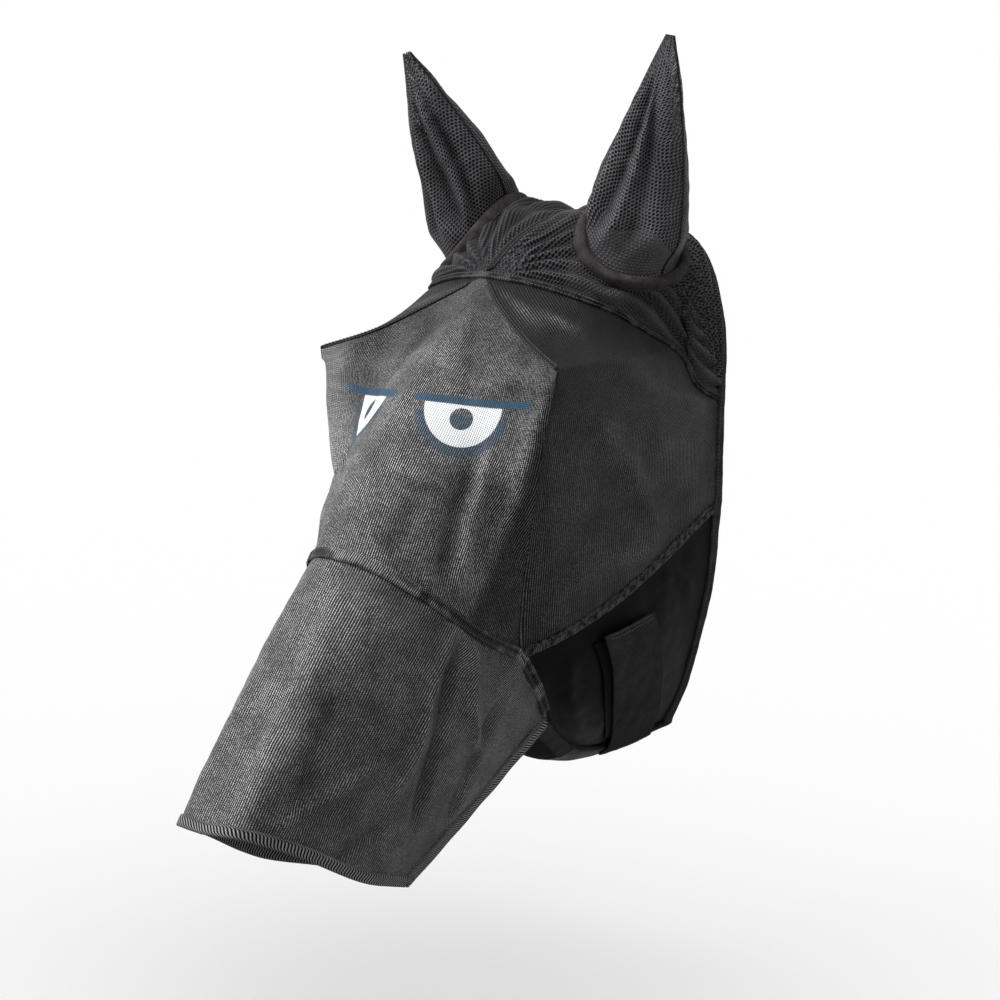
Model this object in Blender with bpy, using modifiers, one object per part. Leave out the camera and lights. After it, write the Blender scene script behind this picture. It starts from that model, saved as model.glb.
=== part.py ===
"""A horse's fly mask with ear sleeves and a long nose, as it sits on the horse's head.

The mask is a set of sewn panels. Seam curves through named points form a net over the head, each panel
fills one mesh of that net, and tapes, bindings and fleece trims follow the same curves. Lengths are in
millimetres until a mesh is made. The frame's origin is the inside of the crown, between the ears, where
the mask hangs on the horse's poll: +Z is up, -Y is forward and +X is the horse's left. Curves and
panels are given for the left half, and side = -1 makes the right one.
"""

import math

import bmesh
import bpy
import numpy as np

MM = 0.001

# Cloth thicknesses, tape widths and the gaps that keep neighbours apart.
MESH_THICK = 1.6
CHEEK_THICK = 2.0
TAPE_THICK = 1.2
FLEECE_THICK = 4.6
SEAM_WIDTH = 8.0
HEM_WIDTH = 10.0
HEM_THICK = 2.4
HEM_END_CUT = 5.0
REAR_WIDTH = 11.0
BINDING_GAP = 0.5
JAW_BINDING_WIDTH = 13.0
JAW_BINDING_START = 20.0
EDGE_GAP = 0.8
EDGE_STRIP = 5.0
LIFT = 1.2

# The head's landmarks on the left half.
HEAD_CENTRE = (0, -110, -210)
BROW = (0, -133, -38)
CROWN_REAR = (0, 50, -8)
NOSE_TOP = (0, -322, -249)
HEM_TOP = (0, -473, -449)
DART_TIP = (130, -196, -102)
SEAM_CORNER = (99, -42, -84)
REAR_HIGH = (98, 75, -157)
REAR_LOW = (97, 74, -243)
CHEEK_FRONT = (76, -177, -345)
NOSE_LOW = (56, -114, -418)
JAW_FRONT = (40, -66, -449)
JAW_REAR = (45, 73, -450)
HEM_CORNER = (50, -288, -524)

# Seam and edge curves, each from landmark to landmark.
CROWN = [BROW, (0, -90, -11), (0, -40, 5), (0, 8, 6), CROWN_REAR]
FOREHEAD = [BROW, (0, -185, -84), (0, -236, -130), (0, -283, -189), NOSE_TOP]
NOSE_RIDGE = [NOSE_TOP, (0, -400, -352), HEM_TOP]
POLL_SEAM_FRONT = [BROW, (42, -124, -43), (80, -108, -54), (94, -78, -66), SEAM_CORNER]
POLL_SEAM_SIDE = [SEAM_CORNER, (101, 10, -110), (100, 30, -136), REAR_HIGH]
DART = [BROW, (35, -155, -60), (85, -177, -86), DART_TIP]
TENT_RIDGE = [DART_TIP, (112, -200, -200), (92, -192, -285), CHEEK_FRONT]
REAR_TOP = [CROWN_REAR, (38, 62, -8), (70, 77, -24), (92, 82, -90), REAR_HIGH]
REAR_MIDDLE = [REAR_HIGH, REAR_LOW]
REAR_BOTTOM = [REAR_LOW, (92, 70, -315), (80, 67, -370), (62, 71, -418), JAW_REAR]
CHEEK_SEAM = [REAR_LOW, (99, 25, -265), (100, -30, -290), (97, -82, -313), (89, -135, -332), CHEEK_FRONT]
NOSE_SEAM = [NOSE_TOP, (22, -317, -252), (42, -303, -263), (62, -272, -287), (73, -223, -322), CHEEK_FRONT]
NOSE_SIDE = [CHEEK_FRONT, (70, -146, -381), NOSE_LOW]
CHEEK_EDGE = [CHEEK_FRONT, (70, -146, -381), NOSE_LOW, JAW_FRONT]
JAW_LINE = [JAW_REAR, (40, 20, -457), (38, -30, -457), JAW_FRONT]
JAW_EDGE = [NOSE_LOW, (58, -194, -462), HEM_CORNER]
HEM = [HEM_TOP, (30, -468, -449), (50, -425, -467), (57, -350, -505), HEM_CORNER]

# How far each panel's middle stands proud of the straight blend of its four edges.
SIDE_PUSH = (8, 0, 0)
CHEEK_PUSH = (8, 0, 0)
NOSE_PUSH = (5, 0, 0)
POLL_SWELL = 4.0

# Points along each curve. Panels that meet along a curve share its points.
CROWN_COUNT = 8
SEAM_FRONT_COUNT = 7
SEAM_SIDE_COUNT = 4
REAR_MIDDLE_COUNT = 4
CHEEK_SEAM_COUNT = 9
DART_COUNT = 8
TENT_COUNT = SEAM_FRONT_COUNT + SEAM_SIDE_COUNT + REAR_MIDDLE_COUNT + CHEEK_SEAM_COUNT - 2 - DART_COUNT
SIDE_ROWS = 7
REAR_TOP_COUNT = 8
REAR_BOTTOM_COUNT = 9
NOSE_SIDE_COUNT = 5
NOSE_LENGTH_COUNT = 10
POLL_ROWS = 5

# The ear opening: an oval ring on the poll panel, bent a little like a saddle, with a fleece tube on it.
EAR_CENTRE = np.array((80.0, -34.0, -16.0))
EAR_FACING = (0.68, -0.22, 0.70)
EAR_RING = (54.0, 48.0)
EAR_BEND = 4.0
EAR_TRIM_RADIUS = 5.2
EAR_TRIM_INSET = 5.6
EAR_TRIM_COUNT = 28

# The ear sleeve: a cone that starts inside the trim and tapers to a blunt tip.
SLEEVE_LENGTH = 180.0
SLEEVE_RADIUS = 46.0
SLEEVE_TAPER = 1.65
SLEEVE_BASE_INSET = 15.0
SLEEVE_TIP_RADIUS = 3.0
SLEEVE_RISE = 10.0
SLEEVE_SPREAD = 45.0
SLEEVE_DEPTH = 0.95
SLEEVE_WIDTH = 1.04
SLEEVE_LEAN = 9.0
EAR_PITCH = {"left": 4.5, "right": -24.5}
SLEEVE_ROWS = 10
SLEEVE_COUNT = 9

# The closure: a throat flap sewn to the right cheek and a loop tab that lies on the left cheek's hook pad.
FLAP_DROP = 14.0
FLAP_ROWS = 9
FLAP_CLEAR = 2.2
THROAT_HINGE = (-42, 0, -460)
TAB_TOP = ((0.45, 0.19), (0.70, 0.13))
TAB_FOOT = ((0.22, 1.0), (0.62, 1.0))
TAB_ROWS = 8
TAB_COLUMNS = 5
TAB_THICK = 1.6
TAB_CLEAR = 3.2
PAD_CORNERS = ((0.48, 0.24), (0.74, 0.15), (0.30, 0.88), (0.67, 0.90))
PAD_ROWS = 6
PAD_COLUMNS = 4
PAD_THICK = 1.4
PAD_CLEAR = 1.0

FABRICS = {
    "mesh": ((0.020, 0.020, 0.022), 0.6),
    "poll_mesh": ((0.018, 0.017, 0.020), 0.65),
    "cheek_cloth": ((0.010, 0.010, 0.012), 0.55),
    "tape": ((0.012, 0.012, 0.013), 0.6),
    "twill": ((0.016, 0.016, 0.018), 0.6),
    "fleece": ((0.030, 0.023, 0.022), 0.95),
    "hook_loop": ((0.014, 0.014, 0.015), 0.8),
}


# ---- Curves and grids of points ----


def unit(vector):
    return np.asarray(vector, float) / np.linalg.norm(vector)


def lengths_along(line):
    """Distance from a line's start to each of its points."""
    return np.concatenate([[0], np.cumsum(np.linalg.norm(np.diff(line, axis=0), axis=1))])


def along(line, distances):
    """Points at the given distances along a line."""
    travelled = lengths_along(line)
    return np.stack([np.interp(distances, travelled, line[:, axis]) for axis in range(3)], axis=-1)


def smooth_line(points, count):
    """Evenly spaced points on a smooth curve through the given ones."""
    knots = np.array(points, float)
    if len(knots) == 2:
        return np.linspace(knots[0], knots[1], count)
    place = np.concatenate([[0], np.cumsum(np.sqrt(np.linalg.norm(np.diff(knots, axis=0), axis=1)))])
    slope = np.gradient(knots, place, axis=0)
    step = np.linspace(0, 1, 24, endpoint=False)[:, None]
    pieces = []
    for i, span in enumerate(np.diff(place)):
        start = (1 + 2 * step) * (1 - step) ** 2 * knots[i] + step * (1 - step) ** 2 * span * slope[i]
        end = step**2 * (3 - 2 * step) * knots[i + 1] + step**2 * (step - 1) * span * slope[i + 1]
        pieces.append(start + end)
    fine = np.vstack(pieces + [knots[-1:]])
    return along(fine, np.linspace(0, lengths_along(fine)[-1], count))


def join(*lines):
    """Lines end to end, with each shared point kept once."""
    return np.vstack([lines[0]] + [line[1:] for line in lines[1:]])


def blend_edges(bottom, top, left, right, push=(0, 0, 0)):
    """A grid of points that blends four edge curves; push moves its middle. Rows run from bottom to top."""
    across = np.linspace(0, 1, len(bottom))[None, :, None]
    up = np.linspace(0, 1, len(left))[:, None, None]
    grid = (1 - up) * bottom[None] + up * top[None] + (1 - across) * left[:, None] + across * right[:, None]
    grid -= (1 - across) * (1 - up) * bottom[0] + across * (1 - up) * bottom[-1]
    grid -= (1 - across) * up * top[0] + across * up * top[-1]
    return grid + 16 * across * (1 - across) * up * (1 - up) * np.array(push, float)


def lens(inner, outer, rows, push):
    """A grid between two lines that share both ends, with its middle pushed out."""
    out = np.linspace(0, 1, rows)[:, None, None]
    on = np.linspace(0, 1, len(inner))[None, :, None]
    return (1 - out) * inner + out * outer + 16 * out * (1 - out) * on * (1 - on) * np.array(push, float)


def lines_from(grid, side):
    """A grid's lines, each starting on the given side; a second call puts the grid back."""
    turned = {
        "bottom": grid.transpose(1, 0, 2),
        "top": grid[::-1].transpose(1, 0, 2),
        "left": grid,
        "right": grid[:, ::-1],
    }
    return turned[side].copy()


def grid_of(lines, side):
    """The grid whose lines_from(grid, side) these lines are."""
    if side in ("left", "right"):
        return lines_from(lines, side)
    grid = lines.transpose(1, 0, 2)
    return grid[::-1].copy() if side == "top" else grid.copy()


def distance_to(points, curve):
    """Distance from each point to the nearest place on a line of straight stretches."""
    start = curve[:-1][None]
    run = np.diff(curve, axis=0)[None]
    offset = points[:, None] - start
    share = np.clip((offset * run).sum(-1) / np.maximum((run**2).sum(-1), 1e-9), 0, 1)
    return np.linalg.norm(offset - share[..., None] * run, axis=-1).min(axis=1)


def cut_back(grid, side, edges):
    """The grid with one side cut back until it is clear of every (curve, distance) in edges."""
    lines = lines_from(grid, side)
    for line in lines:
        travelled = lengths_along(line)
        reach = np.linspace(0, travelled[-1], 400)
        tried = along(line, reach)
        clear = np.ones(len(reach), bool)
        for curve, distance in edges:
            clear &= distance_to(tried, curve) >= distance
        start = reach[np.argmax(clear)]
        places = start + (travelled[-1] - start) * travelled / max(travelled[-1], 1e-9)
        if start < 0.4 * travelled[1]:
            places = travelled.copy()
            places[0] = start
        places[1] = min(places[1], start + EDGE_STRIP)
        line[:] = along(line, places)
    return grid_of(lines, side)


def inward(grid, side, distance):
    """The row of points at one distance in from a side."""
    edge = lines_from(grid, side)[:, 0]
    return lines_from(cut_back(grid, side, [(edge, distance)]), side)[:, 0]


def normals_of(grid, centre):
    """Unit normals of a grid, pointing away from centre; on the plane x = 0 they stay in it."""
    normals = np.cross(np.gradient(grid, axis=0), np.gradient(grid, axis=1))
    normals /= np.linalg.norm(normals, axis=-1, keepdims=True)
    if ((grid - np.array(centre)) * normals).sum() < 0:
        normals = -normals
    normals[np.abs(grid[..., 0]) < 1e-6, 0] = 0
    return normals / np.linalg.norm(normals, axis=-1, keepdims=True)


def shortened(rows, start, end):
    """Rows with a length cut off each of their two ends."""
    travelled = np.array([lengths_along(row) for row in rows])
    room = travelled[:, -1] - end
    inside = ((travelled > start + 1) & (travelled < room[:, None] - 1)).all(axis=0)
    places = np.column_stack([np.full(len(rows), start), travelled[:, inside], room])
    return [along(row, place) for row, place in zip(rows, places)]


def sample(grid, across, up):
    """Points of a grid at fractions across and up, straight between its points."""
    column = np.clip(across, 0, 1) * (grid.shape[1] - 1)
    row = np.clip(up, 0, 1) * (grid.shape[0] - 1)
    c = np.minimum(column.astype(int), grid.shape[1] - 2)
    r = np.minimum(row.astype(int), grid.shape[0] - 2)
    fc = (column - c)[..., None]
    fr = (row - r)[..., None]
    low = (1 - fc) * grid[r, c] + fc * grid[r, c + 1]
    high = (1 - fc) * grid[r + 1, c] + fc * grid[r + 1, c + 1]
    return (1 - fr) * low + fr * high


# ---- Solids ----


def cloth(name):
    """A fabric's material."""
    found = bpy.data.materials.get(name)
    if found:
        return found
    colour, roughness = FABRICS[name]
    material = bpy.data.materials.new(name)
    material.use_nodes = True
    shader = material.node_tree.nodes["Principled BSDF"]
    shader.inputs["Base Color"].default_value = (*colour, 1)
    shader.inputs["Roughness"].default_value = roughness
    shader.inputs["Metallic"].default_value = 0
    return material


def mesh_of(name, grids, centre):
    """One open mesh of all the grids, joined where they meet, with its faces turned away from centre."""
    bm = bmesh.new()
    for grid in grids:
        rows = [[bm.verts.new(point * MM) for point in row] for row in grid]
        for low, high in zip(rows, rows[1:]):
            for i in range(len(low) - 1):
                bm.faces.new((low[i], low[i + 1], high[i + 1], high[i]))
    bmesh.ops.remove_doubles(bm, verts=bm.verts, dist=1e-6)
    bmesh.ops.recalc_face_normals(bm, faces=bm.faces)
    middle = np.array(centre) * MM
    if sum(np.dot(face.normal, np.array(face.calc_center_median()) - middle) for face in bm.faces) < 0:
        bmesh.ops.reverse_faces(bm, faces=bm.faces)
    mesh = bpy.data.meshes.new(name)
    bm.to_mesh(mesh)
    bm.free()
    mesh.shade_smooth()
    return mesh


def sheet(name, grids, thick, fabric, offset=-1.0, mirrored=False, centre=HEAD_CENTRE, pivot=None):
    """A piece of cloth: open grids given their thickness; mirrored adds the right half to a left one."""
    mesh = mesh_of(name, grids, centre)
    obj = bpy.data.objects.new(name, mesh)
    PARTS.objects.link(obj)
    mesh.materials.append(cloth(fabric))
    if mirrored:
        mirror = obj.modifiers.new("right half", "MIRROR")
        mirror.merge_threshold = 0.00001
    solid = obj.modifiers.new("thickness", "SOLIDIFY")
    solid.thickness = thick * MM
    solid.offset = offset
    if pivot:
        obj.parent = pivot
        obj.matrix_parent_inverse = pivot.matrix_world.inverted()
    return obj


def lifted(rows, lift, centre=HEAD_CENTRE):
    """Rows made a grid and moved out along its normals."""
    grid = np.array(rows)
    return grid + lift * normals_of(grid, centre)


def flipped(grid, side):
    """A left-hand grid, or its mirror image when side is -1."""
    return grid * np.array((side, 1, 1))


def joint_axis(name, place):
    """An empty on a joint's axis, which the pieces that turn about it are parented to."""
    empty = bpy.data.objects.new(name, None)
    empty.location = np.array(place, float) * MM
    empty.empty_display_size = 0.02
    PARTS.objects.link(empty)
    bpy.context.view_layer.update()
    return empty


# ---- The net of seams and the panels between them ----


def seam_net():
    """The left half's full panels, up to their outer edges."""
    seam_front = smooth_line(POLL_SEAM_FRONT, SEAM_FRONT_COUNT)
    seam_side = smooth_line(POLL_SEAM_SIDE, SEAM_SIDE_COUNT)
    dart = smooth_line(DART, DART_COUNT)
    tent = smooth_line(TENT_RIDGE, TENT_COUNT)
    cheek_seam = smooth_line(CHEEK_SEAM, CHEEK_SEAM_COUNT)
    nose_seam = smooth_line(NOSE_SEAM, DART_COUNT)
    nose_side = smooth_line(NOSE_SIDE, NOSE_SIDE_COUNT)
    crown = smooth_line(CROWN, CROWN_COUNT)
    rear_top = smooth_line(REAR_TOP, REAR_TOP_COUNT)
    rear_middle = smooth_line(REAR_MIDDLE, REAR_MIDDLE_COUNT)
    rear_bottom = smooth_line(REAR_BOTTOM, REAR_BOTTOM_COUNT)
    side_edge = join(seam_front, seam_side, rear_middle, cheek_seam)
    return {
        "front": blend_edges(dart, nose_seam, smooth_line(FOREHEAD, TENT_COUNT), tent),
        "side": lens(join(dart, tent), side_edge, SIDE_ROWS, SIDE_PUSH),
        "cheek": blend_edges(
            cheek_seam,
            smooth_line(JAW_LINE, len(cheek_seam)),
            rear_bottom,
            smooth_line(CHEEK_EDGE, REAR_BOTTOM_COUNT),
            CHEEK_PUSH,
        ),
        "nose": blend_edges(
            join(nose_seam, nose_side),
            smooth_line(HEM, DART_COUNT + NOSE_SIDE_COUNT - 1),
            smooth_line(NOSE_RIDGE, NOSE_LENGTH_COUNT),
            smooth_line(JAW_EDGE, NOSE_LENGTH_COUNT),
            NOSE_PUSH,
        ),
        "poll": poll_grid(join(crown[::-1], seam_front, seam_side, rear_top[::-1])),
        "rear": join(rear_top, rear_middle, rear_bottom),
        "crown": crown,
    }


def ear_frame():
    """The ear ring's normal, its rearward axis and its axis up and in towards the crown."""
    facing = unit(EAR_FACING)
    rearward = unit(np.array((0, 1, 0)) - facing[1] * facing)
    return facing, rearward, np.cross(facing, rearward)


def ear_ring(angles, grow=0.0):
    """Points round the ear opening, grow outside its edge, from angle 0 at the rear to 90 degrees at the crown."""
    facing, rearward, crownward = ear_frame()
    turn = np.asarray(angles)[..., None]
    ring = EAR_CENTRE + (EAR_RING[0] + grow) * np.cos(turn) * rearward
    ring = ring + (EAR_RING[1] + grow) * np.sin(turn) * crownward
    return ring - EAR_BEND * np.cos(2 * turn) * facing


def poll_grid(outline):
    """The poll panel: rows from the ear opening out to a closed outline, each point facing its own angle."""
    facing, rearward, crownward = ear_frame()
    offset = outline - EAR_CENTRE
    angles = np.arctan2(offset @ crownward / EAR_RING[1], offset @ rearward / EAR_RING[0])
    share = np.linspace(0, 1, POLL_ROWS)[:, None, None]
    swell = 4 * share * (1 - share) * POLL_SWELL * facing
    return (1 - share) * ear_ring(angles, 3 * EDGE_GAP) + share * outline + swell


def sleeve_grid(pitch, start, end):
    """A left ear sleeve's surface between two angles round it, from inside the ear trim up to the tip."""
    lean = math.radians(SLEEVE_LEAN)
    tilt = math.radians(pitch)
    axis = np.array((math.sin(lean), math.cos(lean) * math.sin(tilt), math.cos(lean) * math.cos(tilt)))
    rearward = unit(np.array((0, 1, 0)) - axis[1] * axis)
    inwards = np.cross(axis, rearward)
    angles = np.radians(np.linspace(start, end, SLEEVE_COUNT))
    around = np.cos(angles)[:, None] * rearward * SLEEVE_DEPTH
    around = around + np.sin(angles)[:, None] * inwards * SLEEVE_WIDTH
    base = ear_ring(angles, -SLEEVE_BASE_INSET) - EAR_CENTRE
    base_height = base @ axis
    base_round = base - base_height[:, None] * axis
    rows = []
    for share in np.linspace(0, 1, SLEEVE_ROWS):
        height = base_height + share * (SLEEVE_LENGTH - base_height)
        taper = 1 - np.clip(height / SLEEVE_LENGTH, 0, 1) ** SLEEVE_TAPER
        radius = SLEEVE_TIP_RADIUS + (SLEEVE_RADIUS - SLEEVE_TIP_RADIUS) * taper
        spread = np.clip((height - base_height - SLEEVE_RISE) / SLEEVE_SPREAD, 0, 1)[:, None]
        spread = spread * spread * (3 - 2 * spread)
        wall = (1 - spread) * base_round + spread * radius[:, None] * around
        rows.append(EAR_CENTRE + height[:, None] * axis + wall)
    return np.array(rows)


# ---- The mask's pieces ----


def face_mesh(net):
    """The eye and forehead mesh: one piece with a dart at each brow and a tented ridge below it."""
    front = cut_back(net["front"], "top", [(net["front"][-1], EDGE_GAP)])
    front[0, 0] = along(front[:, 0], [2 * EDGE_GAP])[0]
    side = cut_back(net["side"], "top", [(net["side"][-1], EDGE_GAP), (net["rear"], REAR_WIDTH)])
    side[0, DART_COUNT - 1 :] = front[:, -1]
    side[:, 0] = front[0, 0]
    side[:, -1] = front[-1, -1]
    sheet("face_mesh", [front, side], MESH_THICK, "mesh", mirrored=True)


def nose_mesh(net):
    """The nose panel, open underneath."""
    nose = cut_back(net["nose"], "bottom", [(net["nose"][0], EDGE_GAP)])
    nose = cut_back(nose, "top", [(net["nose"][-1], HEM_WIDTH)])
    nose = cut_back(nose, "right", [(net["nose"][:, -1], HEM_WIDTH)])
    sheet("nose_mesh", [nose], MESH_THICK, "mesh", mirrored=True)


def nose_hem_tape(net):
    """The twill tape round the nose panel's free edges: up one jaw edge, round the hem and down the other."""
    inner_gap = HEM_WIDTH - EDGE_GAP
    inner = cut_back(net["nose"], "top", [(net["nose"][-1], inner_gap)])
    inner = cut_back(inner, "right", [(net["nose"][:, -1], inner_gap)])
    rows = [join(grid[-1], grid[::-1, -1]) for grid in (inner, net["nose"])]
    rows = shortened(rows, 0, HEM_END_CUT)
    sheet("nose_hem_tape", [lifted(rows, (HEM_THICK - MESH_THICK) / 2)], HEM_THICK, "twill", mirrored=True)


def seam_tape(name, rows, cut=(0, 0), mirrored=False, side=1):
    """A tape on the outside of a seam, laid on rows of points of the panels that meet there."""
    rows = shortened(rows, *cut)
    if mirrored:
        for row in rows:
            row[0, 0] = 0
    grid = flipped(lifted(rows, LIFT), side)
    sheet(name, [grid], TAPE_THICK, "tape", offset=1.0, mirrored=mirrored)


def seam_tapes(net):
    """Flat tapes over the seams: brow, crown and nose across the middle, and darts and cheeks in pairs."""
    half = SEAM_WIDTH / 2
    rear_end = REAR_WIDTH + 1.5
    front, side, cheek, nose, poll = (net[key] for key in ("front", "side", "cheek", "nose", "poll"))
    poll_inner = inward(poll, "top", half)
    brow_count = SEAM_FRONT_COUNT + SEAM_SIDE_COUNT - 1
    brow = slice(CROWN_COUNT - 1, CROWN_COUNT - 1 + brow_count)
    below_brow = inward(side, "top", half)[:brow_count]
    below_brow[0] = along(front[:, 0], [half])[0]
    brow_rows = [poll_inner[brow], side[-1, :brow_count], below_brow]
    seam_tape("brow_seam_tape", brow_rows, (0, rear_end), mirrored=True)

    crown_rows = shortened([poll[-1, :CROWN_COUNT], poll_inner[:CROWN_COUNT]], rear_end, half + 2)
    crown_rows[0][:, 0] = 0
    sheet("crown_seam_tape", [lifted(crown_rows, LIFT)], TAPE_THICK, "tape", offset=1.0, mirrored=True)

    above_nose = join(inward(front, "top", half), inward(cheek, "right", half)[:NOSE_SIDE_COUNT])
    nose_rows = [above_nose, nose[0], inward(nose, "bottom", half)]
    seam_tape("nose_seam_tape", nose_rows, (0, 3.0), mirrored=True)

    dart_rows = [inward(front, "bottom", half), front[0], inward(side, "bottom", half)[:DART_COUNT]]
    cheek_rows = [inward(side, "top", half)[-CHEEK_SEAM_COUNT:], cheek[0], inward(cheek, "bottom", half)]
    for name, hand in (("left", 1), ("right", -1)):
        seam_tape(f"{name}_dart_tape", dart_rows, (2 * SEAM_WIDTH, 0.5), side=hand)
        seam_tape(f"{name}_cheek_seam_tape", cheek_rows, (rear_end, 1.5 * half), side=hand)


def poll_meshes(net):
    """The gathered panels behind the brow, each with an ear opening, and the fleece tubes round those."""
    poll = net["poll"]
    poll = cut_back(poll, "top", [(poll[-1], EDGE_GAP), (net["rear"], REAR_WIDTH)])
    around = np.linspace(0, 2 * math.pi, EAR_TRIM_COUNT, endpoint=False)
    for name, hand in (("left", 1), ("right", -1)):
        sheet(f"{name}_poll_mesh", [flipped(poll, hand)], MESH_THICK, "poll_mesh")
        tube(f"{name}_ear_trim", flipped(ear_ring(around, -EAR_TRIM_INSET), hand), EAR_TRIM_RADIUS)


def tube(name, ring, radius):
    """A closed round tube along a ring of points."""
    curve = bpy.data.curves.new(name, "CURVE")
    curve.dimensions = "3D"
    curve.bevel_depth = radius * MM
    curve.bevel_resolution = 2
    spline = curve.splines.new("POLY")
    spline.points.add(len(ring) - 1)
    for point, place in zip(spline.points, ring):
        point.co = (*(place * MM), 1)
    spline.use_cyclic_u = True
    spline.use_smooth = True
    obj = bpy.data.objects.new(name, curve)
    PARTS.objects.link(obj)
    curve.materials.append(cloth("fleece"))


def ear_sleeves():
    """Each ear's sleeve: a front and a back panel, turning about an axis across its base."""
    for name, hand in (("left", 1), ("right", -1)):
        pivot = joint_axis(f"{name}_ear_axis", EAR_CENTRE * (hand, 1, 1))
        pitch = EAR_PITCH[name]
        middle = (EAR_CENTRE + (10, 0, 60)) * (hand, 1, 1)
        for part, start, end in (("back", -90, 90), ("front", 90, 270)):
            grid = sleeve_grid(pitch, start, end)
            grid = cut_back(grid, "left", [(grid[:, 0], EDGE_GAP)])
            grid = cut_back(grid, "right", [(grid[:, -1], EDGE_GAP)])
            obj_name = f"{name}_ear_{part}"
            sheet(obj_name, [flipped(grid, hand)], MESH_THICK, "poll_mesh", centre=middle, pivot=pivot)


def rear_bindings(net):
    """The fleece strips round the opening for the neck, from the crown down to each jaw."""
    inner_gap = REAR_WIDTH - 2 * EDGE_GAP
    rear = net["rear"]
    brow_count = SEAM_FRONT_COUNT + SEAM_SIDE_COUNT - 1
    poll_row = cut_back(net["poll"], "top", [(rear, inner_gap)])[-1, CROWN_COUNT - 2 + brow_count :]
    side_row = cut_back(net["side"], "top", [(rear, inner_gap)])[-1, brow_count - 1 :][:REAR_MIDDLE_COUNT]
    cheek_row = cut_back(net["cheek"], "left", [(rear, inner_gap)])[:, 0]
    inner = np.vstack([poll_row[:0:-1], side_row, cheek_row[1:]])
    inner[0] = along(net["crown"][::-1], [inner_gap])[0]
    rows = shortened([inner, rear.copy()], 0, 1.0)
    for row in rows:
        row[0, 0] = BINDING_GAP / 2
    strip = lifted(rows, -MESH_THICK / 2)
    for name, hand in (("left", 1), ("right", -1)):
        sheet(f"{name}_rear_binding", [flipped(strip, hand)], FLEECE_THICK, "fleece", offset=0.0)


def cheek_panels(net):
    """The smooth lower panels, with the fleece binding on the front edge of each below the nose panel."""
    cheek = net["cheek"]
    panel = cut_back(cheek, "bottom", [(cheek[0], EDGE_GAP)])
    panel = cut_back(panel, "top", [(cheek[-1], EDGE_GAP)])
    panel = cut_back(panel, "left", [(net["rear"], REAR_WIDTH)])
    panel = cut_back(panel, "right", [(cheek[:, -1], EDGE_GAP)])
    edge = cheek[:, -1]
    ahead = np.cross(normals_of(cheek, HEAD_CENTRE)[:, -1], np.gradient(edge, axis=0))
    ahead *= np.sign(-ahead[:, 1:2]) / np.linalg.norm(ahead, axis=1, keepdims=True)
    rows = [(edge + ahead * reach)[NOSE_SIDE_COUNT - 1 :] for reach in (EDGE_GAP, JAW_BINDING_WIDTH)]
    strip = lifted(shortened(rows, JAW_BINDING_START, 1.0), -CHEEK_THICK / 2)
    for name, hand in (("left", 1), ("right", -1)):
        sheet(f"{name}_cheek_panel", [flipped(panel, hand)], CHEEK_THICK, "cheek_cloth")
        sheet(f"{name}_jaw_binding", [flipped(strip, hand)], FLEECE_THICK, "fleece", offset=0.0)


def patch(grid, corners, rise, rows, columns):
    """A grid that lies on another one's outside, between corners given as fractions across and up it."""
    corner = np.array(corners, float)
    across = np.linspace(0, 1, columns)[None, :, None]
    down = np.linspace(0, 1, rows)[:, None, None]
    upper = (1 - across) * corner[0] + across * corner[1]
    lower = (1 - across) * corner[2] + across * corner[3]
    place = (1 - down) * upper + down * lower
    out = normals_of(grid, HEAD_CENTRE)
    return sample(grid, place[..., 0], place[..., 1]) + rise * sample(out, place[..., 0], place[..., 1])


def closure(net):
    """The throat flap that swings down from the right jaw, its loop tab and the hook pad it closes on."""
    cheek = net["cheek"]
    hinge = joint_axis("throat_flap_axis", THROAT_HINGE)
    rows = []
    for share in np.linspace(-1, 1, FLAP_ROWS):
        row = cheek[-1] * (share, 1, 1)
        row[:, 2] -= FLAP_CLEAR + FLAP_DROP * (1 - share * share)
        rows.append(row)
    sheet("throat_flap", [np.array(rows)], CHEEK_THICK, "cheek_cloth", offset=1.0, pivot=hinge)

    pad = patch(cheek, PAD_CORNERS, PAD_CLEAR, PAD_ROWS, PAD_COLUMNS)
    sheet("hook_pad", [pad], PAD_THICK, "hook_loop", offset=1.0)
    tab = patch(cheek, TAB_TOP + TAB_FOOT, TAB_CLEAR, TAB_ROWS, TAB_COLUMNS)
    tab_hinge = joint_axis("closure_tab_axis", (tab[-1, 0] + tab[-1, -1]) / 2)
    tab_hinge.parent = hinge
    tab_hinge.matrix_parent_inverse = hinge.matrix_world.inverted()
    sheet("closure_tab", [tab], TAB_THICK, "hook_loop", offset=1.0, pivot=tab_hinge)


for old in list(bpy.data.objects):
    bpy.data.objects.remove(old, do_unlink=True)
PARTS = bpy.data.collections.new("fly_mask")
bpy.context.scene.collection.children.link(PARTS)

NET = seam_net()
face_mesh(NET)
nose_mesh(NET)
nose_hem_tape(NET)
seam_tapes(NET)
poll_meshes(NET)
ear_sleeves()
rear_bindings(NET)
cheek_panels(NET)
closure(NET)
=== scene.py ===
"""The looks of a horse's fly mask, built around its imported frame.

The same net of seam curves that shapes the solids is filled with fine cloth here: woven meshes with their
folds and gathers, sewn tapes with stitches, fleece trims, and a hook-and-loop closure. Lengths are in
millimetres until a mesh is made. +Z is up, -Y is forward and +X is the horse's left; curves are given for
the left half, and hand = -1 makes the right one.
"""

import math  # noqa: E402

import bmesh  # noqa: E402
import bpy  # noqa: E402
import numpy as np  # noqa: E402
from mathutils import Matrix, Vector, noise  # noqa: E402


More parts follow.
